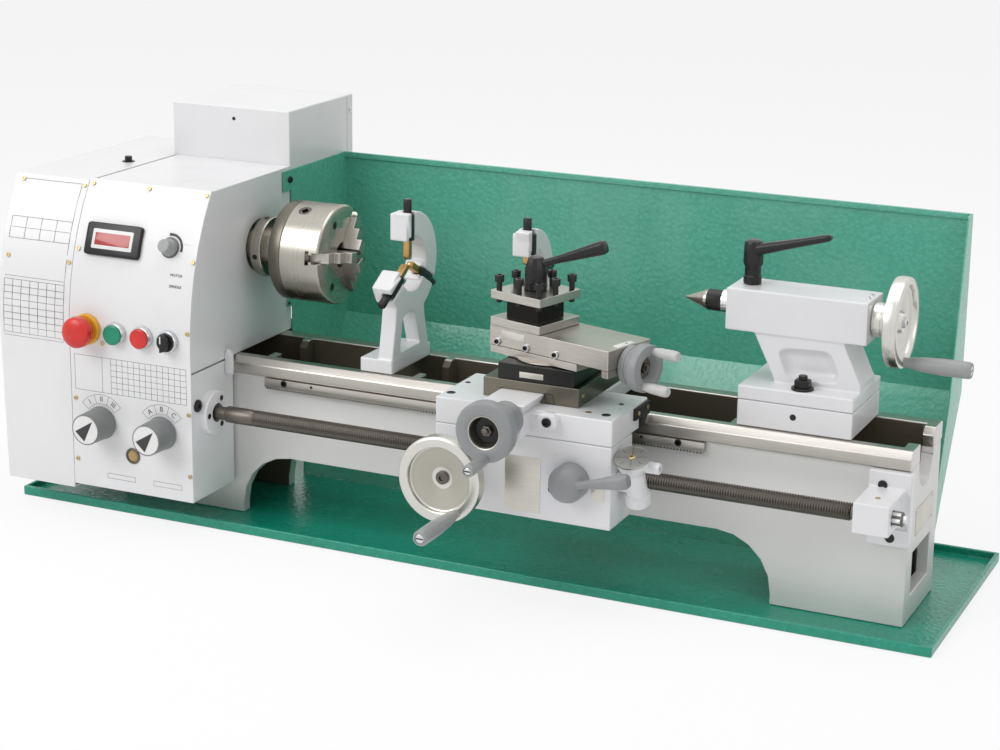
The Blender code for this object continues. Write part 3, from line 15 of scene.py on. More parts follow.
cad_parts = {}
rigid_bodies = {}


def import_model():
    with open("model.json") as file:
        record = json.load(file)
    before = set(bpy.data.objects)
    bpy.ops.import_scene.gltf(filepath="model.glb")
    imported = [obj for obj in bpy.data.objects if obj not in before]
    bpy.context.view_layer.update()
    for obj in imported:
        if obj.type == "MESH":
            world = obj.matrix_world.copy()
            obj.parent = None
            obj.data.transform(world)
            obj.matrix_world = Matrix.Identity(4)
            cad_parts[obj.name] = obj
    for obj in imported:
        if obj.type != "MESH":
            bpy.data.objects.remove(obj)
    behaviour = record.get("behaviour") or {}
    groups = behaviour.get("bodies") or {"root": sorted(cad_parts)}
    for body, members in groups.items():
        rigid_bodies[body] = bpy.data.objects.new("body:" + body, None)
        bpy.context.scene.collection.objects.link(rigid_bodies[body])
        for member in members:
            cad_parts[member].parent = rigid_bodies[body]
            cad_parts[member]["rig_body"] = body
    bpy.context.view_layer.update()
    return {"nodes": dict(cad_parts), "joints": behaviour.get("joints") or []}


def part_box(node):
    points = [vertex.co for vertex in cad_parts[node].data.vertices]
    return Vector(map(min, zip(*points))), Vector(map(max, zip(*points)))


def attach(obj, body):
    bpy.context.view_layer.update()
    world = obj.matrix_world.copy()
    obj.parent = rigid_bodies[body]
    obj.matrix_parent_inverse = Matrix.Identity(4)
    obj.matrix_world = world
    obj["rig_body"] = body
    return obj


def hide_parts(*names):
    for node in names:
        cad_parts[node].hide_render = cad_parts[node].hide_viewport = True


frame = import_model()
MM = 0.001
TAU = math.tau
DOUBLES = 2e-6


def low(node, axis):
    """A node's lowest coordinate on an axis, in millimetres."""
    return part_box(node)[0]["XYZ".index(axis)] / MM


def high(node, axis):
    """A node's highest coordinate on an axis, in millimetres."""
    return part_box(node)[1]["XYZ".index(axis)] / MM


def joint(name):
    """A joint's row in the frame."""
    return next(found for found in frame["joints"] if found["name"] == name)


def pivot(name):
    """The point a joint turns about, in millimetres."""
    return np.array(joint(name)["pos_m"]) / MM


AXIS_Z = float(pivot("spindle_turn")[2])
BED_TOP = high("bed", "Z")
BED_RIGHT = high("bed", "X")
RACK_BOX = low("rack", "X"), high("rack", "X"), high("rack", "Z"), low("rack", "Z")
FRONT, CURVE_START, CURVE_RADIUS = low("front_panel", "Y"), BED_TOP + 30.0, 330.0


# ---- finishes ----

class Wire:
    """A socket that arithmetic works on: each operator adds a Math node."""

    def __init__(self, nodes, socket):
        self.nodes, self.socket = nodes, socket

    def math(self, operation, *others, swap=False, clamp=False):
        values = [self, *others]
        if swap:
            values.reverse()
        settings = {"operation": operation, "use_clamp": clamp}
        return self.nodes.node("ShaderNodeMath", settings, dict(enumerate(values)))

    def __add__(self, other):
        return self.math("ADD", other)

    __radd__ = __add__

    def __sub__(self, other):
        return self.math("SUBTRACT", other)

    def __rsub__(self, other):
        return self.math("SUBTRACT", other, swap=True)

    def __mul__(self, other):
        return self.math("MULTIPLY", other)

    __rmul__ = __mul__

    def __truediv__(self, other):
        return self.math("DIVIDE", other)

    def above(self, edge, width):
        """0 below an edge and 1 above it, with a ramp of a width between."""
        return ((self - edge) / width + 0.5).math("ADD", 0.0, clamp=True)


class Nodes:
    """A node tree that nodes are added to."""

    def __init__(self, tree):
        self.tree = tree

    def node(self, kind, settings=None, sockets=None, output=0):
        """Adds a node of a kind, sets it up, fills its sockets, and gives one of its outputs."""
        added = self.tree.nodes.new(kind)
        for word, value in (settings or {}).items():
            setattr(added, word, value)
        for socket, value in (sockets or {}).items():
            if isinstance(value, Wire):
                self.tree.links.new(value.socket, added.inputs[socket])
            else:
                added.inputs[socket].default_value = value
        return Wire(self, added.outputs[output] if added.outputs else None)

    def seen(self, clamp=False):
        """1 for what the eye meets straight, in a mirror or through glass."""
        path = self.node("ShaderNodeLightPath").socket.node.outputs
        straight, mirrored, through = (
            Wire(self, path["Is %s Ray" % kind]) for kind in ("Camera", "Glossy", "Transmission"))
        return (straight + mirrored).math("ADD", through, clamp=clamp)


class Finish(Nodes):
    """One procedural material: a Principled shader and the nodes that feed it."""

    def __init__(self, name, colour, roughness, metallic=0.0, **fixed):
        self.made = bpy.data.materials.new(name)
        self.made.use_nodes = True
        super().__init__(self.made.node_tree)
        self.shader = self.tree.nodes["Principled BSDF"]
        self.colour = colour
        start = {"Base Color": (*colour, 1.0), "Roughness": roughness, "Metallic": metallic}
        extra = {word.replace("_", " ").title().replace("Ior", "IOR"): fixed[word] for word in fixed}
        for socket, value in {**start, **extra}.items():
            self.shader.inputs[socket].default_value = value
        self.at = self.node("ShaderNodeTexCoord", output="Object")

    def feed(self, socket, wire):
        self.tree.links.new(wire.socket, self.shader.inputs[socket])
        return self

    def fed(self, socket):
        """What feeds one of the shader's sockets now."""
        return Wire(self, self.shader.inputs[socket].links[0].from_socket)

    def vector(self, operation, *values):
        return self.node("ShaderNodeVectorMath", {"operation": operation}, dict(enumerate(values)))

    def parts(self, vector=None):
        """The three coordinates of a point, in metres."""
        split = self.node("ShaderNodeSeparateXYZ", None, {0: vector or self.at})
        return [Wire(self, output) for output in split.socket.node.outputs]

    def noise(self, scale, detail=2.0, stretch=(1.0, 1.0, 1.0), at=None):
        point = self.vector("MULTIPLY", at or self.at, stretch)
        return self.node("ShaderNodeTexNoise", None, {"Vector": point, "Scale": scale, "Detail": detail})

    def mixed(self, factor, first, second):
        """A colour between two colours."""
        ends = [(*value, 1.0) if isinstance(value, tuple) else value for value in (first, second)]
        return self.node("ShaderNodeMix", {"data_type": "RGBA"}, {0: factor, 6: ends[0], 7: ends[1]}, 2)

    def bump(self, height, distance, strength=1.0):
        sockets = {"Height": height, "Distance": distance, "Strength": strength}
        return self.feed("Normal", self.node("ShaderNodeBump", None, sockets))


def shade(colour, share):
    """The same colour, lighter or darker."""
    return tuple(min(1.0, value * share) for value in colour)


def enamel(name, colour, lumps=0.25, roughness=0.36):
    """Sprayed enamel: a faint orange peel over the slow lumps of a casting, a little dust in its tone."""
    made = Finish(name, colour, roughness, coat_weight=0.2, coat_roughness=0.15)
    broad, lump, fine = made.noise(7.0, 3.0), made.noise(60.0, 3.0), made.noise(650.0, 2.0)
    tone = made.mixed(broad.above(0.5, 0.5), shade(colour, 0.95), colour)
    warm = made.mixed(made.noise(23.0, 5.0).above(0.66, 0.2) * 0.25, tone, shade(colour, 0.84))
    made.feed("Base Color", warm).feed("Roughness", roughness - 0.06 + 0.12 * lump)
    return made.bump(fine * 0.12 + lump * lumps, 0.0006)


def hammered(name, dark, light, coat):
    """Hammer finish: shallow round dimples, with sparse bright specks painted between them as glints."""
    made = Finish(name, light, 0.26, coat_weight=coat, coat_roughness=0.1)
    drift = made.vector("MULTIPLY", made.noise(40.0, 2.0), (0.006, 0.006, 0.006))
    point = made.vector("ADD", made.at, drift)
    sockets = {"Vector": point, "Scale": 190.0, "Smoothness": 0.8}
    dimple = made.node("ShaderNodeTexVoronoi", {"feature": "SMOOTH_F1"}, sockets)
    glint_speck = made.noise(420.0, 3.0).above(0.62, 0.12)
    slow = made.noise(9.0, 3.0)
    tone = made.mixed((1.0 - dimple * 0.9).math("ADD", 0.0, clamp=True), dark, light)
    tone = made.mixed(slow.above(0.5, 0.4) * 0.35, tone, shade(dark, 0.9))
    # painted highlight: sparse specks lifted to 1.7 times the light green stand in for glints
    made.feed("Base Color", made.mixed(glint_speck * 0.1, tone, shade(light, 1.7)))
    made.feed("Roughness", 0.2 + 0.14 * slow)
    return made.bump(dimple * 0.7 + glint_speck * 0.15, 0.0011, 0.8)


def metal(name, colour, roughness, stretch=(40.0, 40.0, 40.0), centre=None, axis=0, depth=0.4, turn=0.0):
    """Bare metal with fine tool marks: straight ones drawn out by a stretch, or rings about a centre line."""
    made = Finish(name, colour, roughness, 1.0)
    if centre is None:
        point = made.at
        if turn:
            point = made.node("ShaderNodeMapping", None, {"Vector": point, "Rotation": (0.0, 0.0, -turn)})
        marks = made.noise(12.0, 4.0, stretch, point)
    else:
        offset = made.vector("SUBTRACT", made.at, tuple(value * MM for value in centre))
        spread = made.parts(offset)
        along = spread.pop(axis)
        radius = (spread[0] * spread[0] + spread[1] * spread[1]).math("SQRT")
        flat = made.node("ShaderNodeCombineXYZ", None, {0: radius * 1700.0, 1: along * 1700.0, 2: 0.0})
        marks = made.node("ShaderNodeTexNoise", None, {"Vector": flat, "Scale": 1.0, "Detail": 3.0})
    stain = made.noise(26.0, 4.0)
    tone = made.mixed(marks.above(0.5, 0.7), shade(colour, 0.86), shade(colour, 1.1))
    tone = made.mixed(stain.above(0.62, 0.3) * 0.25, tone, shade(colour, 0.72))
    made.feed("Base Color", tone).feed("Roughness", roughness - 0.05 + 0.1 * marks + 0.06 * stain)
    return made.bump(marks, 0.0001, depth)


def moulded(name, colour, roughness=0.42, grain=0.5, metallic=0.0, wear=0.15, **fixed):
    """Moulded plastic, or a dull cast or blackened skin: a fine even grain with slow wear in its gloss."""
    made = Finish(name, colour, roughness, metallic, **fixed)
    grit, slow = made.noise(1400.0, 2.0), made.noise(55.0, 3.0)
    tone = made.mixed(slow.above(0.5, 0.5), shade(colour, 1 - wear), shade(colour, 1 + wear))
    made.feed("Base Color", tone)
    made.feed("Roughness", roughness - 0.1 + 0.2 * slow)
    return made.bump(grit * grain + slow * 0.3, 0.0003, 0.5)


WHITE, OFF_WHITE, STEEL = (0.79, 0.79, 0.80), (0.74, 0.73, 0.715), (0.50, 0.475, 0.44)
GUARD_DARK, GUARD_LIGHT = (0.085, 0.40, 0.285), (0.13, 0.51, 0.375)
# the tray's greens are the guard's green paint darkened as painted shade under the bed
TRAY_SHADED_DARK, TRAY_SHADED_LIGHT = (0.004, 0.24, 0.15), (0.012, 0.34, 0.23)
# the first colour here is a dark brown, painted on the bed's inner walls as shade between the ways
INNER_WALL_SHADE, BLACKENED = (0.115, 0.095, 0.07), (0.02, 0.019, 0.018)
BED_INNER, WAY_DEPTH = 49.0, 21.3
COMPOUND_TURN = math.radians(-16.0)
SPINDLE = (0.0, 0.0, AXIS_Z)

LOOKS = {
    "sheet": enamel("white sheet enamel", WHITE, 0.05, 0.32),
    "cast": enamel("white cast enamel", (0.80, 0.80, 0.815), 0.5, 0.3),
    "guard": hammered("guard hammer finish", GUARD_DARK, GUARD_LIGHT, 0.35),
    # the tray: the guard's green paint, darker as painted shade
    "tray": hammered("tray hammer finish in painted shade", TRAY_SHADED_DARK, TRAY_SHADED_LIGHT, 0.12),
    "turned": metal("turned steel", (0.43, 0.41, 0.36), 0.25, centre=SPINDLE, axis=0, depth=0.2),
    "plate steel": metal("back plate steel", (0.18, 0.168, 0.135), 0.32, centre=SPINDLE, axis=0),
    "cross": metal("cross slide steel", (0.19, 0.175, 0.14), 0.34, (60.0, 4.0, 60.0)),
    "dish": metal("turned dish steel", (0.43, 0.415, 0.36), 0.3, centre=pivot("carriage_wheel_turn"), axis=1),
    "jaw": metal("hardened jaw steel", (0.46, 0.44, 0.41), 0.3, (60.0, 60.0, 4.0)),
    "ground": metal("ground steel", (0.52, 0.50, 0.46), 0.3, (3.0, 60.0, 60.0)),
    "slide": metal("scraped slide steel", (0.50, 0.475, 0.43), 0.32, (4.0, 60.0, 60.0), turn=COMPOUND_TURN),
    "dark": metal("dark screw steel", (0.15, 0.135, 0.12), 0.38, (60.0, 60.0, 60.0)),
    "chrome": metal("polished chrome", (0.78, 0.78, 0.79), 0.14, centre=SPINDLE, axis=0, depth=0.12),
    "bronze": metal("bearing bronze", (0.55, 0.33, 0.13), 0.34, (50.0, 50.0, 8.0)),
    "brass": metal("brass screw", (0.56, 0.45, 0.24), 0.3),
    "bezel": metal("satin bezel", (0.66, 0.67, 0.68), 0.28),
    "black": moulded("black oxide", (0.014, 0.0135, 0.013), 0.34, 0.3, specular_ior_level=0.32),
    "bakelite": moulded("black lever resin", (0.012, 0.012, 0.0125), 0.28, 0.7, specular_ior_level=0.34),
    "grey": moulded("grey cast enamel", (0.27, 0.28, 0.285), 0.4, 0.8, 0.0, 0.06),
    "grip": moulded("grey grip plastic", (0.31, 0.32, 0.32), 0.38, 0.3, 0.0, 0.06),
    "pale grip": moulded("pale grip plastic", (0.54, 0.54, 0.53), 0.36, 0.3, 0.0, 0.06),
    "knob barrel": moulded("grey knob barrel plastic", (0.2, 0.21, 0.21), 0.4, 0.5, 0.0, 0.06),
    "knob": moulded("dark grey knob plastic", (0.11, 0.117, 0.115), 0.4, 0.6),
    "red": moulded("red button plastic", (0.62, 0.022, 0.016), 0.28, 0.1),
    "green button": moulded("green button plastic", (0.0, 0.23, 0.125), 0.28, 0.1),
    "yellow": moulded("yellow collar plastic", (0.78, 0.38, 0.02), 0.35, 0.1),
    "ink": moulded("black print", (0.03, 0.03, 0.032), 0.5, 0.1),
    "print white": moulded("white print", (0.76, 0.76, 0.75), 0.4, 0.1, 0.0, 0.03),
    "rubber": moulded("belt rubber", (0.02, 0.02, 0.02), 0.7, 1.0, specular_ior_level=0.3),
    "display": Finish("red display window", (0.42, 0.018, 0.02), 0.22, coat_weight=0.5),
    "oil": Finish("amber sight glass", (0.42, 0.26, 0.07), 0.1, coat_weight=0.8),
    "motor": moulded("grey motor paint", (0.13, 0.14, 0.145), 0.45, 0.6),
    "plate": metal("blank plate", (0.60, 0.58, 0.53), 0.36, (3.0, 60.0, 60.0)),
}
for word, flow in (("display", 260.0), ("oil", 90.0)):
    glass = LOOKS[word]
    cloud = glass.mixed(glass.noise(flow, 2.0), shade(glass.colour, 0.7), shade(glass.colour, 1.2))
    glass.feed("Base Color", cloud)


def bed_finish():
    """Off-white cast enamel up to the ways, ground steel above them with the marks along the bed, and
    the inner walls between the ways darkened to a dark brown as painted shade."""
    made = enamel("bed enamel and ground ways", OFF_WHITE, 0.35, 0.38)
    height = made.parts()[2]
    above_paint = height.above((BED_TOP - WAY_DEPTH) * MM, 0.0006)
    bare = above_paint * (1.0 - made.parts()[0].above((BED_RIGHT - 1.0) * MM, 0.0004))
    marks = made.noise(12.0, 4.0, (2.0, 60.0, 60.0))
    stain = made.noise(9.0, 4.0, (0.6, 3.0, 3.0))
    steel = made.mixed(marks.above(0.5, 0.7), shade(STEEL, 0.88), shade(STEEL, 1.14))
    steel = made.mixed(stain.above(0.6, 0.4) * 0.3, steel, shade(STEEL, 0.7))
    painted = made.fed("Base Color")
    between = 1.0 - made.parts()[1].math("ABSOLUTE").above(BED_INNER * MM, 0.0004)
    # painted shade: the walls between the ways, below their tops and short of the right end, turn dark brown
    shaded_inside = between * (1.0 - height.above((BED_TOP - 1.5) * MM, 0.001))
    shaded_inside = shaded_inside * (1.0 - made.parts()[0].above((BED_RIGHT - 16.0) * MM, 0.004))
    painted = made.mixed(shaded_inside, painted, INNER_WALL_SHADE)
    made.feed("Base Color", made.mixed(bare * (1.0 - shaded_inside), painted, steel))
    made.feed("Roughness", 0.38 - bare * (0.08 - 0.08 * marks)).feed("Metallic", bare * (1.0 - shaded_inside))
    return made


def post_finish():
    """Ground plates above and below a blackened neck."""
    made = metal("tool post steel", (0.50, 0.48, 0.44), 0.26, (4.0, 60.0, 60.0), turn=COMPOUND_TURN)
    height = made.parts()[2]
    base, top = low("tool_post", "Z") + 10.0, high("tool_post", "Z") - 10.0
    neck = height.above((base + 0.05) * MM, 0.0001) * (1.0 - height.above((top - 0.05) * MM, 0.0001))
    made.feed("Base Color", made.mixed(neck, made.fed("Base Color"), BLACKENED))
    return made.feed("Roughness", 0.26 + 0.14 * neck)


LOOKS["bed"] = bed_finish()
LOOKS["post"] = post_finish()


# ---- surfaces ----

def reshaped(mesh, *steps):
    """A mesh after each step has worked on its vertices, edges and faces."""
    shape = bmesh.new()
    shape.from_mesh(mesh)
    for step in steps:
        step(shape)
    shape.to_mesh(mesh)
    shape.free()
    return mesh


def joined(shape):
    """Merges the vertices that fall on one spot."""
    bmesh.ops.remove_doubles(shape, verts=shape.verts, dist=DOUBLES)


def solid(name, points, faces):
    """A mesh from points in millimetres, its doubles merged and its faces turned outwards."""
    mesh = bpy.data.meshes.new(name)
    mesh.from_pydata((np.asarray(points, float) * MM).tolist(), [], faces)
    return reshaped(mesh, joined, lambda shape: bmesh.ops.recalc_face_normals(shape, faces=shape.faces))


def piece(name, points, faces, look, body, node=None, sharp=38.0):
    """A closed piece from points in millimetres."""
    return place(name, solid(name, points, faces), look, body, node, sharp)


def place(name, mesh, look, body, node=None, sharp=38.0):
    """Puts a mesh in the scene with its finish, on a body, in place of the node it stands for."""
    mesh.materials.clear()
    mesh.materials.append(LOOKS[look].made)
    mesh.shade_smooth()
    mesh.set_sharp_from_angle(angle=math.radians(sharp))
    made = linked(bpy.data.objects.new(name, mesh))
    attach(made, body)
    if node:
        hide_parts(node)
    return made


def linked(made):
    """An object, now in the scene."""
    bpy.context.scene.collection.objects.link(made)
    return made


def drawn(made):
    """An object's mesh with all its modifiers applied; the object goes."""
    bpy.context.view_layer.update()
    mesh = bpy.data.meshes.new_from_object(made.evaluated_get(bpy.context.evaluated_depsgraph_get()))
    bpy.data.objects.remove(made)
    return mesh


def skins(stacks, closed=False):
    """Points and faces of several stacks of rings: each ring joins the next, and the ends are filled."""
    points, faces = [], []
    for rings in stacks:
        rings = np.asarray(rings, float)
        rows, columns = rings.shape[:2]
        start = sum(len(block) for block in points)
        points.append(rings.reshape(-1, 3))
        row, column = np.meshgrid(np.arange(rows - (not closed)), np.arange(columns), indexing="ij")
        after, below = (column + 1) % columns, (row + 1) % rows
        row, below = row * columns + start, below * columns + start
        quads = np.stack([row + column, row + after, below + after, below + column], -1)
        faces += quads.reshape(-1, 4).tolist()
        if not closed:
            cap = np.arange(columns) + start
            faces += [cap.tolist(), (cap + (rows - 1) * columns).tolist()]
    return np.concatenate(points), faces


def across(axis):
    """Two directions square to an axis and to each other."""
    axis = np.asarray(axis, float) / np.linalg.norm(axis)
    side = np.cross(axis, (0.0, 0.0, 1.0) if abs(axis[2]) < 0.9 else (1.0, 0.0, 0.0))
    side /= np.linalg.norm(side)
    return axis, side, np.cross(axis, side)


def turned_rings(profile, centre, axis, sides):
    """Rings of a profile turned about an axis. Each entry is along, radius, and for a flat-sided
    ring its number of flats: a point at angle a then stands at radius * cos(f/2) / cos(a mod f - f/2)."""
    axis, side, rise = across(axis)
    angles = TAU * np.arange(sides) / sides
    rings = []
    for along, radius, *flats in profile:
        reach = np.full(sides, max(radius, 0.0))
        if flats:
            step = TAU / flats[0]
            reach = reach * math.cos(step / 2) / np.cos(np.mod(angles, step) - step / 2)
        ring = np.outer(reach * np.cos(angles), side) + np.outer(reach * np.sin(angles), rise)
        rings.append(ring + np.asarray(centre, float) + axis * along)
    return np.array(rings)


def turned(name, profile, centre, axis, look, body, sides=64, closed=False, **options):
    """A profile of (along, radius) pairs turned about an axis through a centre."""
    points, faces = skins([turned_rings(profile, centre, axis, sides)], closed)
    return piece(name, points, faces, look, body, **options)


def facing(origin, right, up):
    """A plane to build on: its own right and up, with the third direction standing out of it."""
    right, up = (np.asarray(value, float) / np.linalg.norm(value) for value in (right, up))
    return np.asarray(origin, float), right, up, np.cross(right, up)


def facing_operator(y):
    """An upright plane across the lathe, looking at the operator."""
    return facing((0, y, 0), (1, 0, 0), (0, 0, 1))


def on(plane, outline, height):
    """Places an outline of (right, up) pairs on a plane at a height."""
    origin, right, up, out = plane
    outline = np.asarray(outline, float)
    return origin + np.outer(outline[:, 0], right) + np.outer(outline[:, 1], up) + out * height


def inset(outline, amount):
    """An outline drawn in by an amount, each corner along the middle of its two sides' normals."""
    outline = np.asarray(outline, float)
    ahead = np.roll(outline, -1, 0) - outline
    ahead /= np.linalg.norm(ahead, axis=1)[:, None]
    behind = np.roll(ahead, 1, 0)
    normal = np.stack([-(ahead + behind)[:, 1], (ahead + behind)[:, 0]], 1)
    normal /= np.linalg.norm(normal, axis=1)[:, None]
    share = np.clip((normal * np.stack([-ahead[:, 1], ahead[:, 0]], 1)).sum(1), 0.5, 1.0)
    area = (outline[:, 0] * np.roll(outline[:, 1], -1) - outline[:, 1] * np.roll(outline[:, 0], -1)).sum()
    return outline + normal * (np.sign(area) * amount / share)[:, None]


def slab_rings(plane, outline, bottom, top, edge):
    """Rings of an outline carried from a bottom to a top height, its upper edge rounded off in two steps."""
    levels = [(bottom, 0.0), (top - edge, 0.0), (top - edge * 0.3, edge * 0.3), (top, edge)]
    return np.array([
        on(plane, inset(outline, draw) if draw else outline, height) for height, draw in levels])


def slab(name, plane, outline, bottom, top, look, body, edge=0.3, **options):
    """A flat piece of any outline, standing on a plane."""
    points, faces = skins([slab_rings(plane, outline, bottom, top, edge)])
    return piece(name, points, faces, look, body, **options)


def round_box(width, height, corner, middle=(0.0, 0.0), steps=5):
    """A rectangle with round corners, about a middle."""
    made = []
    for quarter in range(4):
        angles = (quarter + np.arange(steps + 1) / steps) * math.pi / 2
        x = (width / 2 - corner) * (1, -1, -1, 1)[quarter]
        y = (height / 2 - corner) * (1, 1, -1, -1)[quarter]
        made.append(np.stack([x + corner * np.cos(angles), y + corner * np.sin(angles)], 1))
    return np.concatenate(made) + np.asarray(middle)


def strip_rings(path, normals, wide, thick):
    """Rings of a thin flat strip laid along a path of points, standing out along their normals."""
    path, normals = np.asarray(path, float), np.asarray(normals, float)
    ahead = np.gradient(path, axis=0)
    side = np.cross(ahead, normals)
    side *= wide / 2 / np.linalg.norm(side, axis=1)[:, None]
    under = normals * 0.05
    corners = [side - under, side + normals * thick, -side + normals * thick, -side - under]
    return np.stack([path + corner for corner in corners], 1)


def swept(name, path, section, look, body, **options):
    """A round or oval rod along a path: section gives each point's half width and half height."""
    path = np.asarray(path, float)
    ahead = np.gradient(path, axis=0)
    ahead /= np.linalg.norm(ahead, axis=1)[:, None]
    side = np.cross(ahead, (0.0, 0.0, 1.0))
    side /= np.linalg.norm(side, axis=1)[:, None]
    rise = np.cross(side, ahead)
    angles = TAU * np.arange(24) / 24
    wide, tall = np.asarray(section, float).T
    power = 0.7
    across_share = np.sign(np.cos(angles)) * np.abs(np.cos(angles)) ** power
    up_share = np.sign(np.sin(angles)) * np.abs(np.sin(angles)) ** power
    rings = path[:, None] + side[:, None] * (wide[:, None] * across_share)[..., None]
    rings = rings + rise[:, None] * (tall[:, None] * up_share)[..., None]
    points, faces = skins([rings])
    return piece(name, points, faces, look, body, **options)


def lettering(name, words, plane, size, look, body):
    """Raised print: the words as a mesh, laid on a plane."""
    curve = bpy.data.curves.new(name, "FONT")
    curve.body, curve.size, curve.extrude = words, size * MM, 0.06 * MM
    curve.align_x, curve.align_y = "CENTER", "CENTER"
    curve.resolution_u = 3
    mesh = drawn(linked(bpy.data.objects.new(name + " curve", curve)))
    origin, right, up, out = plane
    rows = [[right[i], up[i], out[i], (origin[i] + out[i] * 0.08) * MM] for i in range(3)]
    mesh.transform(Matrix(rows + [[0.0, 0.0, 0.0, 1.0]]))
    return place(name, mesh, look, body)


# ---- cast and machined nodes, with their edges eased ----

SHARP_EDGE, SHORTEST_EDGE = math.radians(28.0), 2.2


def hole(centre, axis, radius, depth, sides=24, flats=()):
    """A cutter for a round or flat-sided hole, sunk from a point on a face against its outward axis."""
    profile = [(-depth, radius, *flats), (3.0, radius, *flats)]
    return solid("cutter", *skins([turned_rings(profile, centre, axis, sides)]))


def merged(node):
    """A copy of a node's mesh with its doubles merged and its flat faces made whole."""
    def flattened(shape):
        bmesh.ops.dissolve_limit(shape, angle_limit=math.radians(0.8), verts=shape.verts, edges=shape.edges)

    return reshaped(frame["nodes"][node].data.copy(), joined, flattened)


def worked(mesh, cuts=(), modifiers=()):
    """A mesh after shapes are cut from it and modifiers (kind, settings) are applied to it."""
    holder = linked(bpy.data.objects.new("holder", mesh))
    tools = [linked(bpy.data.objects.new("tool", shape)) for shape in cuts]
    steps = [("BOOLEAN", {"operation": "DIFFERENCE", "solver": "EXACT", "object": tool}) for tool in tools]
    for kind, settings in [*steps, *modifiers]:
        step = holder.modifiers.new(kind, kind)
        for word, value in settings.items():
            setattr(step, word, value)
    mesh = drawn(holder)
    for tool in tools:
        bpy.data.objects.remove(tool)
    return mesh


def replaced(node, mesh, look, sharp):
    """Puts a finished mesh in place of its node, on the node's own body."""
    return place(node + "_finished", mesh, look, frame["nodes"][node]["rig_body"], node, sharp)


def eased(node, look, width=0.8, steps=2, cuts=(), change=None):
    """A node with its long sharp edges rounded, and then shapes cut from it."""
    def rounded(shape):
        if change:
            change(shape)
        sharp = [
            edge for edge in shape.edges
            if len(edge.link_faces) == 2 and edge.calc_face_angle(0.0) > SHARP_EDGE
            and edge.calc_length() > SHORTEST_EDGE * width * MM
        ]
        bmesh.ops.bevel(
            shape, geom=sharp, offset=width * MM, segments=steps, profile=0.5, affect="EDGES",
            clamp_overlap=False)

    mesh = reshaped(merged(node), rounded)
    if cuts:
        mesh = worked(mesh, cuts)
    made = replaced(node, mesh, look, 50.0)
    made.modifiers.new("even", "WEIGHTED_NORMAL").keep_sharp = True
    return made


def softened(node, look, grain=1.2, passes=5, cuts=()):
    """A casting: the node's surface drawn again on a fine even grid and relaxed, which rounds every edge."""
    relax = [
        ("REMESH", {"mode": "VOXEL", "voxel_size": grain * MM, "use_smooth_shade": True}),
        ("SMOOTH", {"iterations": passes, "factor": 0.5}),
    ]
    return replaced(node, worked(merged(node), cuts, relax), look, 75.0)


def screw(name, centre, axis, radius, height, body, look="black", drive=6, sunk=0.5):
    """A screw head with a flat-sided socket in it."""
    profile = [
        (-1.0, radius * 0.9), (0.0, radius), (height * 0.8, radius), (height, radius * 0.88),
        (height, radius * 0.56, drive), (height - min(height * sunk, 4.0), radius * 0.56, drive),
    ]
    return turned(name, profile, centre, axis, look, body, sides=24, sharp=30.0)


def row(name, places, axis, radius, height, body, look="black", drive=6, sunk=0.5):
    """Several like screws, numbered."""
    for number, centre in enumerate(places, 1):
        screw("%s_%d" % (name, number), centre, axis, radius, height, body, look, drive, sunk)


def spoke(angle):
    """A direction square to the bed's length, at an angle from the back towards the top."""
    return np.array([0.0, math.cos(angle), math.sin(angle)])


# ---- tray, guard and bed ----

def lathe_bed():
    """The tray, the guard, and the bed with its rack: the teeth are one outline of flat-topped steps."""
    eased("drip_tray", "tray", 1.6, 3)
    eased("splash_guard", "guard", 0.4, 1)
    eased("bed", "bed", 1.4, 2)
    left, right, top, bottom = RACK_BOX
    pitch, tooth = 3.927, 2.4
    count = int((right - left) / pitch)
    start = left + (right - left - count * pitch) / 2
    steps = ((0.16, tooth), (0.36, 0.0), (0.64, 0.0), (0.84, tooth))
    teeth = [
        (start + (number + share) * pitch, bottom + rise) for number in range(count) for share, rise in steps]
    outline = [(left, bottom + tooth), *teeth, (right, bottom + tooth), (right, top), (left, top)]
    face = low("rack", "Y")
    plane = facing_operator(high("rack", "Y"))
    shadow = facing_operator(face + 0.9)
    # painted shade: a thin black strip just inside the rack's front face shows through the gaps between the
    # teeth
    strip = [
        (left + 1, bottom + 0.2), (right - 1, bottom + 0.2), (right - 1, bottom + tooth),
        (left + 1, bottom + tooth)]
    slab("rack_tooth_root_shade", shadow, strip, 0.0, 0.1, "ink", "frame", 0.0)
    slab("toothed_rack", plane, outline, 0.0, high("rack", "Y") - face, "ground", "frame", 0.25,
         node="rack")
    spots = [(x, face + 0.4, top - 3.6) for x in (left + 27, 300, right - 31)]
    row("rack_screw", spots, (0, -1, 0), 4.2, 0.8, "frame")
    spots = [(x, face + 0.2, top - 3.0) for x in (left + 65, right - 75)]
    row("rack_pin", spots, (0, -1, 0), 1.8, 0.4, "frame")


def guard_details():
    """The bolt and rivet on the guard's wing, and the clip at the bed's left end."""
    left, top = low("splash_guard", "X"), high("splash_guard", "Z")
    row("wing_bolt", [(left + 1.9, 71.0, top - 12.0)], (1, 0, 0), 4.2, 2.6, "frame")
    row("wing_rivet", [(left + 1.9, 66.5, BED_TOP + 36.0)], (1, 0, 0), 1.8, 1.0, "frame")
    clip = [(1, 188), (1, 213), (4, 218), (8, 218), (12, 213), (12, 188)]
    slab("bed_clip", facing_operator(-87.0), clip, -1.5, 0.6, "cast", "frame", 0.4)


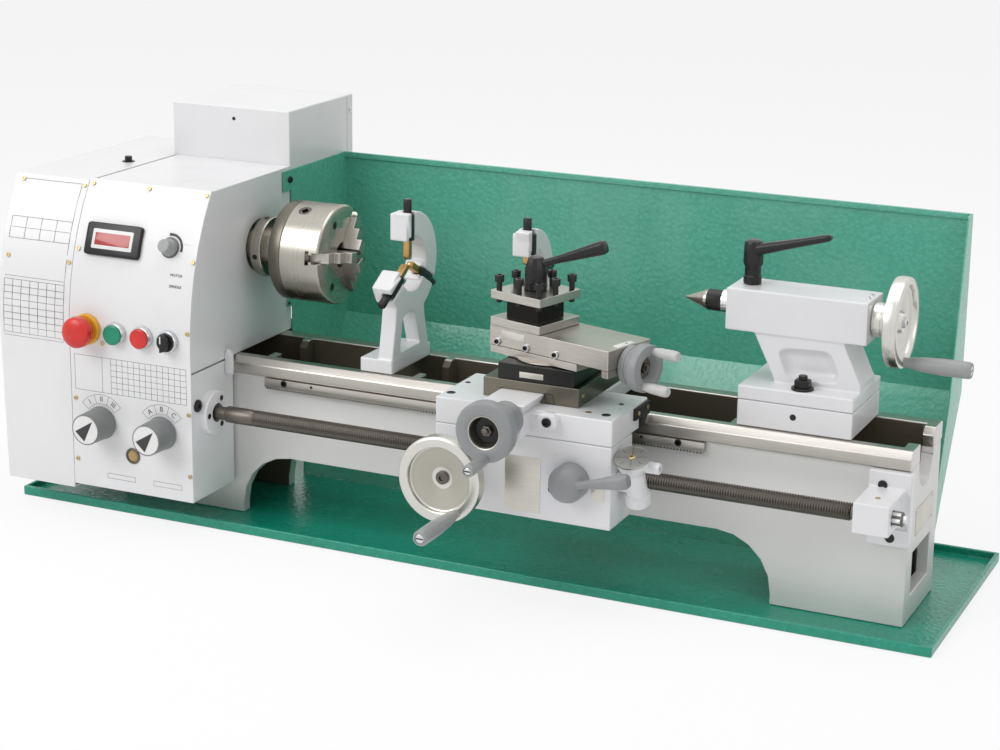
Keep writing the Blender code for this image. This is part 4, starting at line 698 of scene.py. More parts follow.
def leadscrew():
    """The leadscrew: a helix of shallow threads, r = crest - depth * wave(x / pitch - angle / turn), its
    plain ends, and its nut."""
    _, y, z = pivot("leadscrew_turn")
    box_left, box_right = low("leadscrew", "X"), high("leadscrew", "X")
    crest, core, pitch = 10.0, 8.0, 3.0
    start, end = 62.0, low("leadscrew_bracket", "X") - 4.0
    along = np.arange(start, end, pitch / 5)
    angles = TAU * np.arange(20) / 20
    wave = np.mod(along[:, None] / pitch - angles / TAU, 1.0)
    radius = crest - 1.5 * np.clip(np.abs(wave - 0.5) * 4.0 - 0.5, 0.0, 1.0)
    thread = np.stack([
        np.broadcast_to(along[:, None], radius.shape), y + radius * np.cos(angles),
        z + radius * np.sin(angles)], -1)
    plain = [
        (box_left, core - 1), (box_left + 1, core), (24.0, core), (24.0, 9.6), (25.0, crest), (58.0, crest),
        (start, 8.6)]
    far = [(end - 0.2, 8.6), (end, core), (box_right - 1, core), (box_right, core - 1)]
    points, faces = skins([thread])
    piece("leadscrew_thread", points, faces, "dark", "leadscrew_line", node="leadscrew", sharp=60.0)
    turned("leadscrew_neck", plain, (0, y, z), (1, 0, 0), "dark", "leadscrew_line", 40)
    turned("leadscrew_tail", far, (0, y, z), (1, 0, 0), "dark", "leadscrew_line", 40)
    nut = [(0.0, 9.0, 6), (9.0, 9.0, 6), (9.0, 5.0), (14.0, 5.0), (14.0, 0.0)]
    turned("leadscrew_nut", nut, (high("leadscrew_bracket", "X") - 7.0, y, z), (1, 0, 0), "bezel",
        "leadscrew_line", 48)


def bracket():
    """The leadscrew's right bracket with its foot, screws and oiler, and the plate on the bed's end."""
    softened("leadscrew_bracket", "cast", 0.9, 5)
    left, back, thick = low("leadscrew_bracket", "X"), -63.8, 12.0
    foot = facing_operator(back)
    outline = round_box(47.6, 30.0, 4.0, (left + 24.0, 114.0))
    slab("bracket_plate_foot", foot, outline, 0.0, thick, "cast", "frame", 1.6)
    spots = [(left + 16, back - thick, 168.0), (left + 27, back - thick, 109.0)]
    row("bracket_screw", spots, (0, -1, 0), 5.2, 1.2, "frame")
    screw("bracket_oiler", (left + 21, -113.0, 165.0), (0, 0, 1), 3.0, 0.6, "frame", "brass")
    plate = facing((BED_RIGHT, 3.5, 115.0), (0, 1, 0), (0, -0.03, 1))
    slab("bed_end_plate", plate, round_box(74, 31, 1.5), -0.2, 1.0, "plate", "frame", 0.3)
    spots = [(BED_RIGHT + 0.9, 3.5 + 33 * a, 115.0 + 12 * b) for a in (-1, 1) for b in (-1, 1)]
    row("bed_end_rivet", spots, (1, 0, 0), 1.4, 0.7, "frame", "bezel")


# ---- headstock ----

def front_y(z):
    """How far forward the headstock's front stands: flat below the curve, then a circular arc back."""
    rise = np.maximum(0.0, np.asarray(z, float) - CURVE_START)
    return FRONT + CURVE_RADIUS - np.sqrt(CURVE_RADIUS ** 2 - rise ** 2)


def front_plane(x, z):
    """A plane on the curved front, leaning with it."""
    lean = math.asin(max(0.0, z - CURVE_START) / CURVE_RADIUS)
    return facing((x, float(front_y(z)), z), (1, 0, 0), (0, math.sin(lean), math.cos(lean)))


def front_strips(name, lines, width=0.45, look="ink", body="frame"):
    """Thin printed lines laid on the curved front, each through its own (x, z) points."""
    stacks = []
    for line in lines:
        line = np.asarray(line, float)
        if len(line) == 2:
            line = line[0] + (line[1] - line[0]) * np.linspace(0, 1, 9)[:, None]
        lean = np.arcsin(np.maximum(0.0, line[:, 1] - CURVE_START) / CURVE_RADIUS)
        path = np.stack([line[:, 0], front_y(line[:, 1]), line[:, 1]], 1)
        stacks.append(strip_rings(path, np.stack([0 * lean, -np.cos(lean), np.sin(lean)], 1), width, 0.12))
    points, faces = skins(stacks)
    return piece(name, points, faces, look, body)


def grid_lines(left, right, bottom, top, columns, rows):
    """The lines of a ruled table."""
    lines = [[(x, bottom), (x, top)] for x in np.linspace(left, right, columns + 1)]
    return lines + [[(left, z), (right, z)] for z in np.linspace(bottom, top, rows + 1)]


DISPLAY_Z = AXIS_Z + 21.0
CONTROLS = {
    "emergency_stop": (-145.0, BED_TOP + 38.5),
    "start_button": (-104.0, BED_TOP + 37.5),
    "stop_button": (-66.0, BED_TOP + 37.5),
    "direction_switch": (-30.0, BED_TOP + 37.0),
    "speed_knob": (-38.0, DISPLAY_Z),
    "left_gear_knob": (-128.0, BED_TOP - 77.0),
    "right_gear_knob": (-42.0, BED_TOP - 78.0),
}


def headstock():
    """The castings, the sheet panel and cover, and the box behind, with their screws and printed lines,
    and the display."""
    eased("headstock_casting", "sheet", 1.0, 2)
    eased("gearbox_casting", "cast", 1.0, 2)
    seam = high("end_cover", "X") + 0.6

    def reach_cover(shape):
        """Carries the panel's left edge out to the seam of the cover."""
        for vert in shape.verts:
            if vert.co.x < (low("front_panel", "X") + 0.3) * MM:
                vert.co.x = seam * MM

    eased("front_panel", "sheet", 0.4, 2, change=reach_cover)
    eased("electrical_box", "sheet", 2.0, 3)
    cover_left, cover_top = low("end_cover", "X"), high("end_cover", "Z")

    def lean_in(shape):
        """Draws the cover's left side in towards its foot."""
        for vert in shape.verts:
            if vert.co.x < (cover_left + 4) * MM:
                height = (cover_top - vert.co.z / MM) / (cover_top - low("end_cover", "Z"))
                vert.co.x += (3.0 + 8.0 * height) * MM

    eased("end_cover", "sheet", 0.9, 3, change=lean_in)
    top = high("front_panel", "Z")
    spots = [(-164.0, top - 5.5), (-84.5, top - 5.0), (-4.5, top - 5.5)]
    spots += [(x, z) for x in (-165.0, -3.5) for z in (337.5, 254.0, 154.5, 77.0)]
    spots += [(-123.6, 227.6)]
    corners = [(x, z) for x in (-176.0, -265.0) for z in (408.0, 320.0)]
    for name, body, places in (("panel_screw", "frame", spots), ("cover_screw", "cover", corners)):
        for number, (x, z) in enumerate(places, 1):
            origin, _, _, out = front_plane(x, z)
            screw("%s_%d" % (name, number), origin, out, 2.7, 1.5, body, "brass", 4)
    front_strips("gear_table_lines", grid_lines(-113.0, -6.5, 166.0, 210.0, 13, 6)
                 + [[(-165, 166), (-165, 210)], [(-165, 166), (-113, 166)], [(-165, 210), (-113, 210)],
                    [(-125.5, 166), (-125.5, 210)]], 0.35)
    front_strips("cover_table_lines", [
        [(-268, 409), (-180, 409)], [(-180, 222), (-180, 409)], [(-268, 222), (-180, 222)],
        [(-268, 366), (-180, 366)], [(-268, 341), (-180, 341)], [(-268, 296), (-180, 296)],
        *grid_lines(-268.0, -180.0, 341.0, 366.0, 4, 2), *grid_lines(-268.0, -180.0, 226.0, 292.0, 7, 8),
    ], 0.35, body="cover")
    half = 20.0
    for name, x in (("left_label_box", -102.0), ("right_label_box", -36.0)):
        front_strips(name, [
            [(x - half, 58), (x + half, 58)], [(x - half, 64), (x + half, 64)],
            [(x - half, 58), (x - half, 64)], [(x + half, 58), (x + half, 64)]], 0.35)
    plane = front_plane(-116.0, DISPLAY_Z)
    slab("display_bezel", plane, round_box(77, 40, 4.5), -2.0, 5.0, "bakelite", "frame", 1.2)
    slab("display_frame", plane, round_box(57, 24, 1.5), 4.0, 5.6, "print white", "frame", 0.4)
    slab("display_window", plane, round_box(49, 15, 0.5), 5.0, 5.9, "display", "frame", 0.2)
    box_top = high("electrical_box", "Z")
    spot = (-80.6, low("electrical_box", "Y") + 0.2, box_top - 15.5)
    screw("box_screw", spot, (0, -1, 0), 2.2, 1.0, "frame")
    thumb = [(-1.0, 8.0), (0.8, 8.0), (1.0, 4.6), (6.5, 4.6), (7.0, 4.0), (7.0, 0.0)]
    turned("cover_thumb_screw", thumb, (-196.0, 10.0, cover_top), (0, 0, 1), "black", "cover", 40)
    right = high("headstock_casting", "X")
    _, y, z = pivot("leadscrew_turn")
    flange = [(-0.5, 27.0), (8.0, 27.0), (9.5, 25.5), (9.5, 11.5), (-0.5, 11.5)]
    turned("leadscrew_flange", flange, (right, y, z), (1, 0, 0), "cast", "frame", 72, True)
    spots = [(right + 9.0, y, z) + 18.5 * spoke(math.radians(angle)) for angle in (60, 180, 300)]
    row("flange_screw", spots, (1, 0, 0), 3.4, 1.2, "frame", sunk=0.4)
    plug = [(-0.5, 7.6), (1.8, 7.6), (2.6, 6.6), (2.6, 3.2), (1.4, 3.2), (1.4, 0.4)]
    turned("gearbox_plug", plug, (right, y - 30.0, z + 15.0), (1, 0, 0), "black", "frame", 40)


def controls():
    """The buttons, switch and knobs on the panel, each with its collar and marks, and the sight glass."""
    planes = {name: front_plane(x, z) for name, (x, z) in CONTROLS.items()}
    rings = {
        "emergency_stop": ("yellow", [(0.0, 19.0), (4.5, 19.0), (6.0, 17.5), (6.0, 9.8), (0.0, 9.8)]),
        "start_button": ("bezel", [
            (0.0, 14.0), (6.5, 14.0), (8.0, 13.0), (8.0, 12.3), (0.4, 12.3), (0.4, 5.6), (0.0, 5.6)]),
        "direction_switch": ("bezel", [
            (0.0, 13.6), (6.0, 13.6), (7.0, 12.8), (7.0, 11.6), (2.0, 11.6), (2.0, 5.6), (0.0, 5.6)]),
        "speed_knob": ("knob", [(0.0, 12.6), (0.6, 12.6), (0.8, 12.0), (0.8, 5.6), (0.0, 5.6)]),
    }
    rings["stop_button"] = rings["start_button"]
    for name, (look, profile) in rings.items():
        origin, _, _, out = planes[name]
        turned(name + "_collar", profile, origin, out, look, "frame", 64, True)
    stem = [(-14.0, 5.0), (0.3, 5.0)]

    def control(name, profile, look, body, sides=64, sharp=38.0):
        origin, _, _, out = planes[name]
        turned(name + "_cap", stem + profile, origin, out, look, body, sides, node=name, sharp=sharp)

    dome = [(18.5 * math.cos(a) + 0.3, 32.0 - 7.0 * (1 - math.sin(a))) for a in np.linspace(0.1, 1.45, 8)]
    control("emergency_stop", [
        (5.0, 5.0), (5.0, 9.0), (14.0, 9.0), (14.2, 16.5), (16.0, 18.6), (19.0, 19.0), (23.5, 18.6)]
        + [(along, radius) for radius, along in dome] + [(32.0, 0.5)], "red", "stop_mushroom")
    cap = [(3.2, 5.0), (3.2, 12.0), (10.2, 12.0), (10.8, 11.4), (11.0, 10.0), (11.0, 0.5)]
    control("start_button", cap, "green button", "start_cap")
    control("stop_button", cap, "red", "stop_cap")
    barrel = [(2.3, 5.0), (2.3, 11.3), (8.5, 11.3), (9.0, 10.8)]
    control("direction_switch", barrel, "bakelite", "direction_knob")
    angles = np.linspace(-math.pi / 2, math.pi / 2, 17)
    half_round = np.stack([10.8 * np.cos(angles) - 3.0, 10.8 * np.sin(angles)], 1)
    slab("direction_switch_handle", planes["direction_switch"], half_round, 8.0, 16.0, "bakelite",
        "direction_knob", 0.6)
    mark = round_box(1.6, 9.0, 0.4, (-1.6, 4.6))
    plane = planes["direction_switch"]
    slab("direction_switch_mark", plane, mark, 15.9, 16.1, "print white", "direction_knob", 0.05)
    profile = [(0.9, 5.0), (0.9, 10.6), (7.0, 10.0), (8.0, 8.6), (15.0, 8.0), (16.0, 7.0), (16.0, 0.5)]
    control("speed_knob", profile, "grip", "speed_dial")
    arc = np.radians(np.linspace(-12.0, 102.0, 24))
    sweep = np.stack([np.cos(arc), np.sin(arc)], 1)
    crescent = np.concatenate([17.6 * sweep, 14.6 * sweep[::-1]])
    slab("speed_scale", planes["speed_knob"], crescent, -0.2, 0.2, "ink", "frame", 0.05)
    for name, body, words in (
            ("left_gear_knob", "gear_dial_left", ("I", "II", "III")),
            ("right_gear_knob", "gear_dial_right", "ABC")):
        profile = [
            (1.8, 5.0), (1.8, 20.6), (3.0, 20.6), (3.2, 20.0), (35.4, 19.0), (36.0, 18.5), (36.0, 17.9),
            (35.4, 17.7), (35.4, 0.5)]
        control(name, profile, "knob barrel", body)
        origin, _, _, out = planes[name]
        profile = [(35.0, 17.5), (35.7, 17.5), (35.7, 0.5)]
        turned(name + "_face", profile, origin, out, "print white", body, 64)
        tilt = math.radians(48.0)
        tip = np.array([math.cos(tilt), math.sin(tilt)])
        side = np.array([-tip[1], tip[0]])
        pointer = np.array([tip * 15.5, -tip * 12.0 + side * 8.5, -tip * 12.0 - side * 8.5])
        slab(name + "_pointer", planes[name], pointer, 35.6, 35.9, "ink", body, 0.05)
        x, z = CONTROLS[name]
        lines = [
            [(x + r * math.cos(a), z + r * math.sin(a)) for a in np.radians(np.linspace(38.0, 142.0, 25))]
            for r in (23.5, 35.0)
        ]
        lines += [[(x + r * math.cos(a), z + r * math.sin(a)) for r in (23.5, 35.0)]
                  for a in np.radians(np.linspace(38.0, 142.0, 4))]
        front_strips(name + "_scale", lines, 0.35)
        for number, word in enumerate(words):
            a = math.radians((125.0, 90.0, 55.0)[number])
            turn = a - math.pi / 2
            spot = (x + 29.2 * math.cos(a), float(front_y(z)), z + 29.2 * math.sin(a))
            right_way = (math.cos(turn), 0.0, math.sin(turn))
            up_way = (-math.sin(turn), 0.0, math.cos(turn))
            plane = facing(spot, right_way, up_way)
            lettering("%s_mark_%d" % (name, number + 1), word, plane, 9.0, "ink", "frame")
    for number, (word, z) in enumerate((("MOTOR", 320.5), ("SPINDLE", 307.5))):
        lettering("display_word_%d" % (number + 1), word, front_plane(-24.0, z), 4.6, "ink", "frame")
    sight = front_plane(-84.5, 91.5)
    ring = [(-0.5, 10.0), (1.0, 10.0), (1.8, 9.2), (1.8, 7.4), (-0.5, 7.4)]
    turned("sight_glass_ring", ring, sight[0], sight[3], "dark", "frame", 48, True)
    glass_dome = [(-0.4, 7.3), (0.6, 7.3), (1.2, 5.0), (1.5, 0.5)]
    turned("sight_glass", glass_dome, sight[0], sight[3], "oil", "frame", 48)


def motor_and_back():
    """The motor: its shell's radius steps between 0.95 and 1 of its size from rib to rib, with a plain
    bell at each end and a ring of slots and bolts. Then the box's lid and the bolts of the guard."""
    left, right = low("motor", "X"), high("motor", "X")
    y, z = (low("motor", "Y") + high("motor", "Y")) / 2, (low("motor", "Z") + high("motor", "Z")) / 2
    r = (high("motor", "Z") - low("motor", "Z")) / 2
    centre = np.array([0.0, y, z])
    profile = [
        (left, 14.0), (left, r - 7), (left + 3, r - 3), (left + 16, r - 1.5), (left + 17, r - 1.5),
        (left + 18, r), (right - 22, r), (right - 21, r - 2.5), (right - 3, r - 2.5), (right, r - 5),
        (right, 12.0), (right, 0.4)]
    rings = turned_rings(profile, centre, (1, 0, 0), 144)
    ribs = np.where((np.arange(144) // 2) % 2 == 0, 0.95, 1.0)[:, None]
    for number in (5, 6):
        rings[number, :, 1:] = centre[1:] + (rings[number, :, 1:] - centre[1:]) * ribs
    points, faces = skins([rings])
    piece("motor_shell", points, faces, "motor", "frame", node="motor", sharp=30.0)
    slot = round_box(20.0, 4.0, 1.9)
    for number in range(12):
        out = spoke(TAU * number / 12)
        plane = (centre + out * 30.0, out, np.cross(out, (1.0, 0.0, 0.0)), np.array([1.0, 0.0, 0.0]))
        slab("motor_vent_%d" % (number + 1), plane, slot, right - 0.3, right + 0.15, "black", "frame", 0.05)
    spots = [centre + (right - 0.2, 31.5 * a, 31.5 * b) for a in (-1, 1) for b in (-1, 1)]
    row("motor_bolt", spots, (1, 0, 0), 2.6, 1.6, "frame", "bezel")
    box_right, box_back = high("electrical_box", "X"), high("electrical_box", "Y")
    low_z, top_z = low("electrical_box", "Z"), high("electrical_box", "Z")
    seam = [(box_right, box_back - 16.0, level) for level in np.linspace(low_z + 2, top_z - 3, 5)]
    points, faces = skins([strip_rings(seam, np.repeat([[1.0, 0.0, 0.0]], 5, 0), 0.6, 0.05)])
    piece("box_lid_seam", points, faces, "ink", "frame")
    spots = [(box_right, box_back - 8.0, level) for level in (low_z + 20, top_z - 20)]
    row("box_lid_screw", spots, (1, 0, 0), 2.8, 1.4, "frame", "bezel", 4)
    guard_left, guard_right = low("splash_guard", "X"), high("splash_guard", "X")
    back = high("splash_guard", "Y")
    spots = [(x, back, level) for x in (guard_left + 24, (guard_left + guard_right) / 2, guard_right - 24)
             for level in (BED_TOP + 25, BED_TOP + 190)]
    row("guard_back_bolt", spots, (0, 1, 0), 4.4, 2.4, "frame", "bezel")


# ---- spindle and chuck ----

FIRST_JAW = 174.0


def chuck():
    """The spindle nose, the back plate, the slotted body with its key sockets, and the stepped jaws."""
    centre = np.array(SPINDLE)
    x = (1, 0, 0)
    left, right = low("chuck_back_plate", "X"), high("chuck_back_plate", "X")
    radius = (high("chuck_body", "Z") - low("chuck_body", "Z")) / 2
    plate = [
        (left, radius - 2.5), (left + 2, radius - 0.6), (left + 3, radius), (right - 0.8, radius),
        (right, radius - 0.8), (right, 24.5), (left, 24.5)]
    turned("back_plate", plate, centre, x, "plate steel", "spindle_line", 128, True, node="chuck_back_plate")
    collar = [(7.6, 36.4), (8.4, 37.0), (20.4, 37.0), (21.4, 36.2), (21.4, 23.0), (7.6, 23.0)]
    turned("nose_ring", collar, centre, x, "turned", "spindle_line", 96, True)
    for number, angle in enumerate((100, 190, 250, 340), 1):
        out = spoke(math.radians(angle))
        screw("nose_screw_%d" % number, centre + (14.5, 0, 0) + 36.7 * out, out, 3.4, 0.6, "spindle_line")
    body_left, face = low("chuck_body", "X"), high("chuck_body", "X")
    body = [(body_left, 15.0), (body_left, radius - 0.7), (body_left + 0.7, radius), (face - 3.0, radius),
            (face - 1.0, radius - 1.2), (face, radius - 3.2), (face, 15.6), (face - 0.6, 15.0)]
    points, faces = skins([turned_rings(body, centre, x, 160)], True)
    cuts = []
    for number in range(3):
        angle = math.radians(FIRST_JAW + 120.0 * number)
        out = spoke(angle)
        plane = (centre, np.array([1.0, 0.0, 0.0]), np.array([0.0, -out[2], out[1]]), out)
        tee = [(face + 5, -6.8), (face + 5, 6.8), (face - 9, 6.8), (face - 9, 4.2), (face - 13, 4.2),
               (face - 13, 8.6), (face - 18, 8.6), (face - 18, -8.6), (face - 13, -8.6), (face - 13, -4.2),
               (face - 9, -4.2), (face - 9, -6.8)]
        cuts.append(solid("cutter", *skins([np.array([on(plane, tee, 8.0), on(plane, tee, radius + 5)])])))
        key_out = spoke(angle + math.pi / 3)
        spot = centre + (79.0, 0, 0) + key_out * radius
        cuts.append(hole(spot, key_out, 8.0, 13.0, 32))
        ring = [(-13.0, 7.8), (-0.9, 7.8), (-0.4, 7.2), (-0.4, 5.4, 4), (-11.0, 5.4, 4)]
        turned("key_socket_%d" % (number + 1), ring, spot, key_out, "dark", "spindle_line", 64)
        hole_spot = centre + (face, 0, 0) + key_out * 43.0
        cuts.append(hole(hole_spot, (1, 0, 0), 4.6, 5.0, 24))
        screw("chuck_face_screw_%d" % (number + 1), hole_spot - (4.5, 0, 0), x, 4.2, 2.0, "spindle_line")
    mesh = worked(solid("cutter", points, faces), cuts)
    place("chuck_body_finished", mesh, "turned", "spindle_line", "chuck_body", 30.0)
    for number in range(3):
        eased("chuck_jaw_%d" % (number + 1), "jaw", 0.7, 2)


PLAIN = {
    "spindle": "turned", "spindle_bearings": "turned", "spindle_pulley": "ground", "motor_pulley": "ground",
    "drive_belt": "rubber", "idler_gear": "ground", "half_nut": "bronze",
}
for node, look in PLAIN.items():
    holder = frame["nodes"][node]
    holder.data.materials.clear()
    holder.data.materials.append(LOOKS[look].made)


# ---- carriage ----

def carriage():
    """The saddle and apron with their holes, plates and screws."""
    top = high("saddle", "Z") - 11.0
    top_holes = [(335.0, -102.5, 3.2), (335.5, -147.5, 5.2), (524.0, -102.5, 3.2), (524.5, -148.0, 5.2)]
    eased("saddle", "cast", 1.6, 3)
    eased("apron", "cast", 1.8, 3)
    gib = np.array([high("cross_slide", "X"), -125.6, 235.7])
    eased("cross_slide", "cross", 0.6, 2, [hole(gib, (1, 0, 0), 3.6, 8.0)])
    eased("swivel_base", "black", 1.0, 2)
    screw("saddle_plug", (503.5, -148.0, top), (0, 0, 1), 3.6, 0.8, "carriage", "brass")
    for number, (x, y, radius) in enumerate(top_holes, 1):
        screw("saddle_bolt_%d" % number, (x, y, top), (0, 0, 1), radius, 0.35, "carriage", sunk=0.9)
    front = low("apron", "Y")
    plane = facing_operator(front)
    slab("apron_plate", plane, round_box(43, 64, 1.0, (434.5, 138.0)), -0.2, 0.5, "plate", "carriage", 0.1)
    sign = round_box(15, 13.5, 0.6, (525.0, 139.0))
    slab("apron_sign_plate", plane, sign, -0.2, 0.5, "plate", "carriage", 0.1)
    lug = round_box(24.0, 17.0, 7.0, (466.0, 216.5))
    slab("lock_lug", plane, lug, -3.0, 10.0, "cast", "carriage", 2.5)
    web = [(440.0, 223.0), (440.0, 208.0), (456.0, 210.0), (456.0, 223.0)]
    slab("lock_web", plane, web, -3.0, 5.0, "cast", "carriage", 2.0)
    screw("lock_screw", (466.5, front - 9.0, 216.5), (0, -1, 0), 5.4, 3.6, "carriage")
    wiper_x = high("saddle", "X")
    wiper = facing((wiper_x, -78.0, 0), (0, 1, 0), (0, 0, 1))
    outline = [
        (-28, 209), (-28, 222), (16, 222), (16, 206.5), (9, 206.5), (2, 199), (2, 196), (-10, 196), (-10, 209)]
    slab("way_wiper", wiper, outline, -0.2, 3.4, "rubber", "carriage", 0.5)
    spots = [(wiper_x + 3.0, y, 216.0) for y in (-98.0, -70.0)]
    row("wiper_screw", spots, (1, 0, 0), 2.6, 1.4, "carriage", "brass", 4)
    screw("gib_screw", gib - (4.0, 0, 0), (1, 0, 0), 3.2, 4.5, "cross_line", "brass")
    cross_front = low("cross_slide", "Y")
    plane = facing_operator(low("swivel_base", "Y"))
    scale = round_box(29, 6.5, 0.5, (430.5, 254.8))
    slab("swivel_scale_plate", plane, scale, -0.2, 0.4, "plate", "cross_line", 0.1)
    lines = [
        [(449.6, 225.8), (446.4, 236.8), (456.2, 236.8), (459.6, 225.8), (449.6, 225.8)],
        [(398.4, 225.8), (393.2, 236.8), (397.0, 236.8)],
    ]
    ends = [part for line in lines for part in zip(line[:-1], line[1:])]
    paths = [[(x, cross_front, z) for x, z in part] for part in ends]
    points, faces = skins([strip_rings(path, [(0, -1, 0)] * 2, 1.0, 0.15) for path in paths])
    piece("gib_seams", points, faces, "ink", "cross_line")


def wheel(node, body, centre, axis, profile, look, sides=96):
    """A wheel or lever hub turned to a fine profile in place of its node."""
    return turned(node + "_finished", profile, centre, axis, look, body, sides, node=node)


def behind(face, *points):
    """Profile points (back, radius), measured back from a face, as points along the axis."""
    return [(face - back, *rest) for back, *rest in points]


def grip(node, body, start, axis, length, foot, wide, look="grip"):
    """A revolving grip: a waist at its foot, a long swell, a rounded end and a slotted screw in it."""
    profile = [
        (0.3, foot), (length * 0.1, foot), (length * 0.12, foot + 0.9), (length * 0.26, wide * 0.86),
        (length * 0.55, wide * 0.99), (length * 0.85, wide), (length * 0.965, wide * 0.97),
        (length * 0.99, wide * 0.86), (length - 0.4, wide * 0.66), (length - 2.0, wide * 0.62),
        (length - 2.0, 0.3)]
    turned(node + "_finished", profile, start, axis, look, body, 40, node=node)
    head = behind(length, (2.4, wide * 0.56), (0.9, wide * 0.56), (0.6, wide * 0.5), (0.6, 0.3))
    turned(node + "_screw", head, start, axis, "bezel", body, 32)
    plane = (start, *across(axis)[1:], axis)
    slot = round_box(wide, 1.5, 0.3)
    slab(node + "_screw_slot", plane, slot, length - 1.0, length - 0.5, "black", body, 0.05)


def wheels():
    """The carriage and cross slide handwheels with their grips, and the half-nut lever."""
    centre = pivot("carriage_wheel_turn")
    reach, r = 70.0, 49.5
    profile = [(-26.0, 8.0), (0.3, 8.0), (0.3, 17.0), (12.0, 17.0)] + behind(
        reach, (17.0, 15.0), (15.5, 22.0), (16.0, r - 13), (17.5, r - 11), (18, r - 3), (16.5, r - 0.6),
        (9, r), (2.0, r - 0.3), (0.6, r - 1.6), (0.0, r - 3.4), (0.0, r - 11.0), (0.8, r - 12.0),
        (4.6, r - 12.6), (5.6, r - 14.0), (11.0, 12.0), (11.6, 9.0), (11.6, 0.4))
    out = np.array([0.0, -1.0, 0.0])
    LOOKS["wheel"] = metal("turned wheel steel", (0.66, 0.65, 0.61), 0.27, centre=tuple(centre), axis=1)
    wheel("carriage_wheel", "carriage_wheel_line", centre, out, profile, "wheel", 128)
    dish = behind(reach, (5.3, r - 13.9), (10.6, 12.4), (12.6, 12.4), (7.3, r - 13.9))
    turned("carriage_wheel_dish", dish, centre, out, "dish", "carriage_wheel_line", 128, True)
    hub = behind(reach, (12.0, 7.4), (9.4, 7.4), (8.4, 6.4), (8.4, 3.6, 6), (10.5, 3.6, 6))
    turned("carriage_wheel_nut", hub, centre, out, "dark", "carriage_wheel_line", 48)
    grip("carriage_grip", "carriage_wheel_grip", pivot("carriage_grip_turn"), out, 90.0, 5.0, 9.0)
    centre = pivot("cross_wheel_turn")
    reach, r = 64.0, 34.0
    profile = [
        (-22.0, 5.8), (0.3, 5.8), (0.3, 17.0), (3.5, 20.0), (17.0, 20.0), (17.2, 19.2), (17.8, 19.2),
        (18.0, 20.0), (26.0, 20.0), (27.0, 17.6),
    ] + behind(
        reach, (22.0, 17.0), (18.0, 30.0), (15.0, r - 0.5), (13.0, r), (3.0, r), (1.0, r - 0.8),
        (0.0, r - 2.4), (0.0, 20.0), (0.6, 19.2), (2.4, 18.8), (2.6, 17.6), (10.0, 15.6), (12.0, 14.4),
        (12.0, 0.4))
    wheel("cross_wheel", "cross_wheel_line", centre, out, profile, "grey")
    inner = (
        ("recess", "black", 64, False, ((12.4, 13.9), (11.2, 13.9), (11.2, 0.4))),
        ("nut", "dark", 48, False,
         ((11.6, 6.4, 6), (7.0, 6.4, 6), (6.4, 5.6, 6), (6.4, 3.4), (3.6, 3.4), (3.2, 2.8), (3.2, 0.4))),
        ("lip", "ground", 64, True, ((0.9, 17.7), (0.4, 19.0), (0.9, 19.1), (3.0, 18.7), (3.0, 17.5))),
        ("bowl", "cross", 64, True,
         ((3.4, 17.2), (9.6, 15.5), (11.4, 14.2), (11.8, 14.2), (9.9, 16.6), (3.4, 18.0))),
    )
    for word, look, sides, hollow, points in inner:
        profile = behind(reach, *points)
        turned("cross_wheel_" + word, profile, centre, out, look, "cross_wheel_line", sides, hollow)
    grip("cross_grip", "cross_wheel_grip", pivot("cross_grip_turn"), out, 44.0, 5.0, 7.0)
    centre = pivot("half_nut_lever_turn")
    boss = [
        (-18.0, 5.8), (0.3, 5.8), (0.3, 21.0), (14.0, 21.4), (17.5, 21.0), (24.0, 18.4), (29.0, 14.8),
        (31.4, 11.0), (32.0, 8.0), (32.0, 0.4)]
    wheel("half_nut_lever", "nut_lever", centre, out, boss, "grey")
    rise = math.radians(13.0)
    along = np.array([12.0, 22.0, 28.0, 34.0, 48.0, 60.0, 70.0, 75.0, 77.5, 78.0])
    path = centre + np.outer(along, (math.cos(rise), 0, math.sin(rise))) + (0, -23.3, 0)
    size = np.array([4.4, 4.4, 4.5, 5.0, 6.4, 7.8, 8.5, 8.2, 6.6, 3.0])
    swept("half_nut_arm", path, np.stack([size, size], 1), "grey", "nut_lever")
    screw("half_nut_set_screw", centre + (-16.6, -23.4, -6.6), (-0.62, -0.74, -0.24), 2.8, 0.9, "nut_lever")


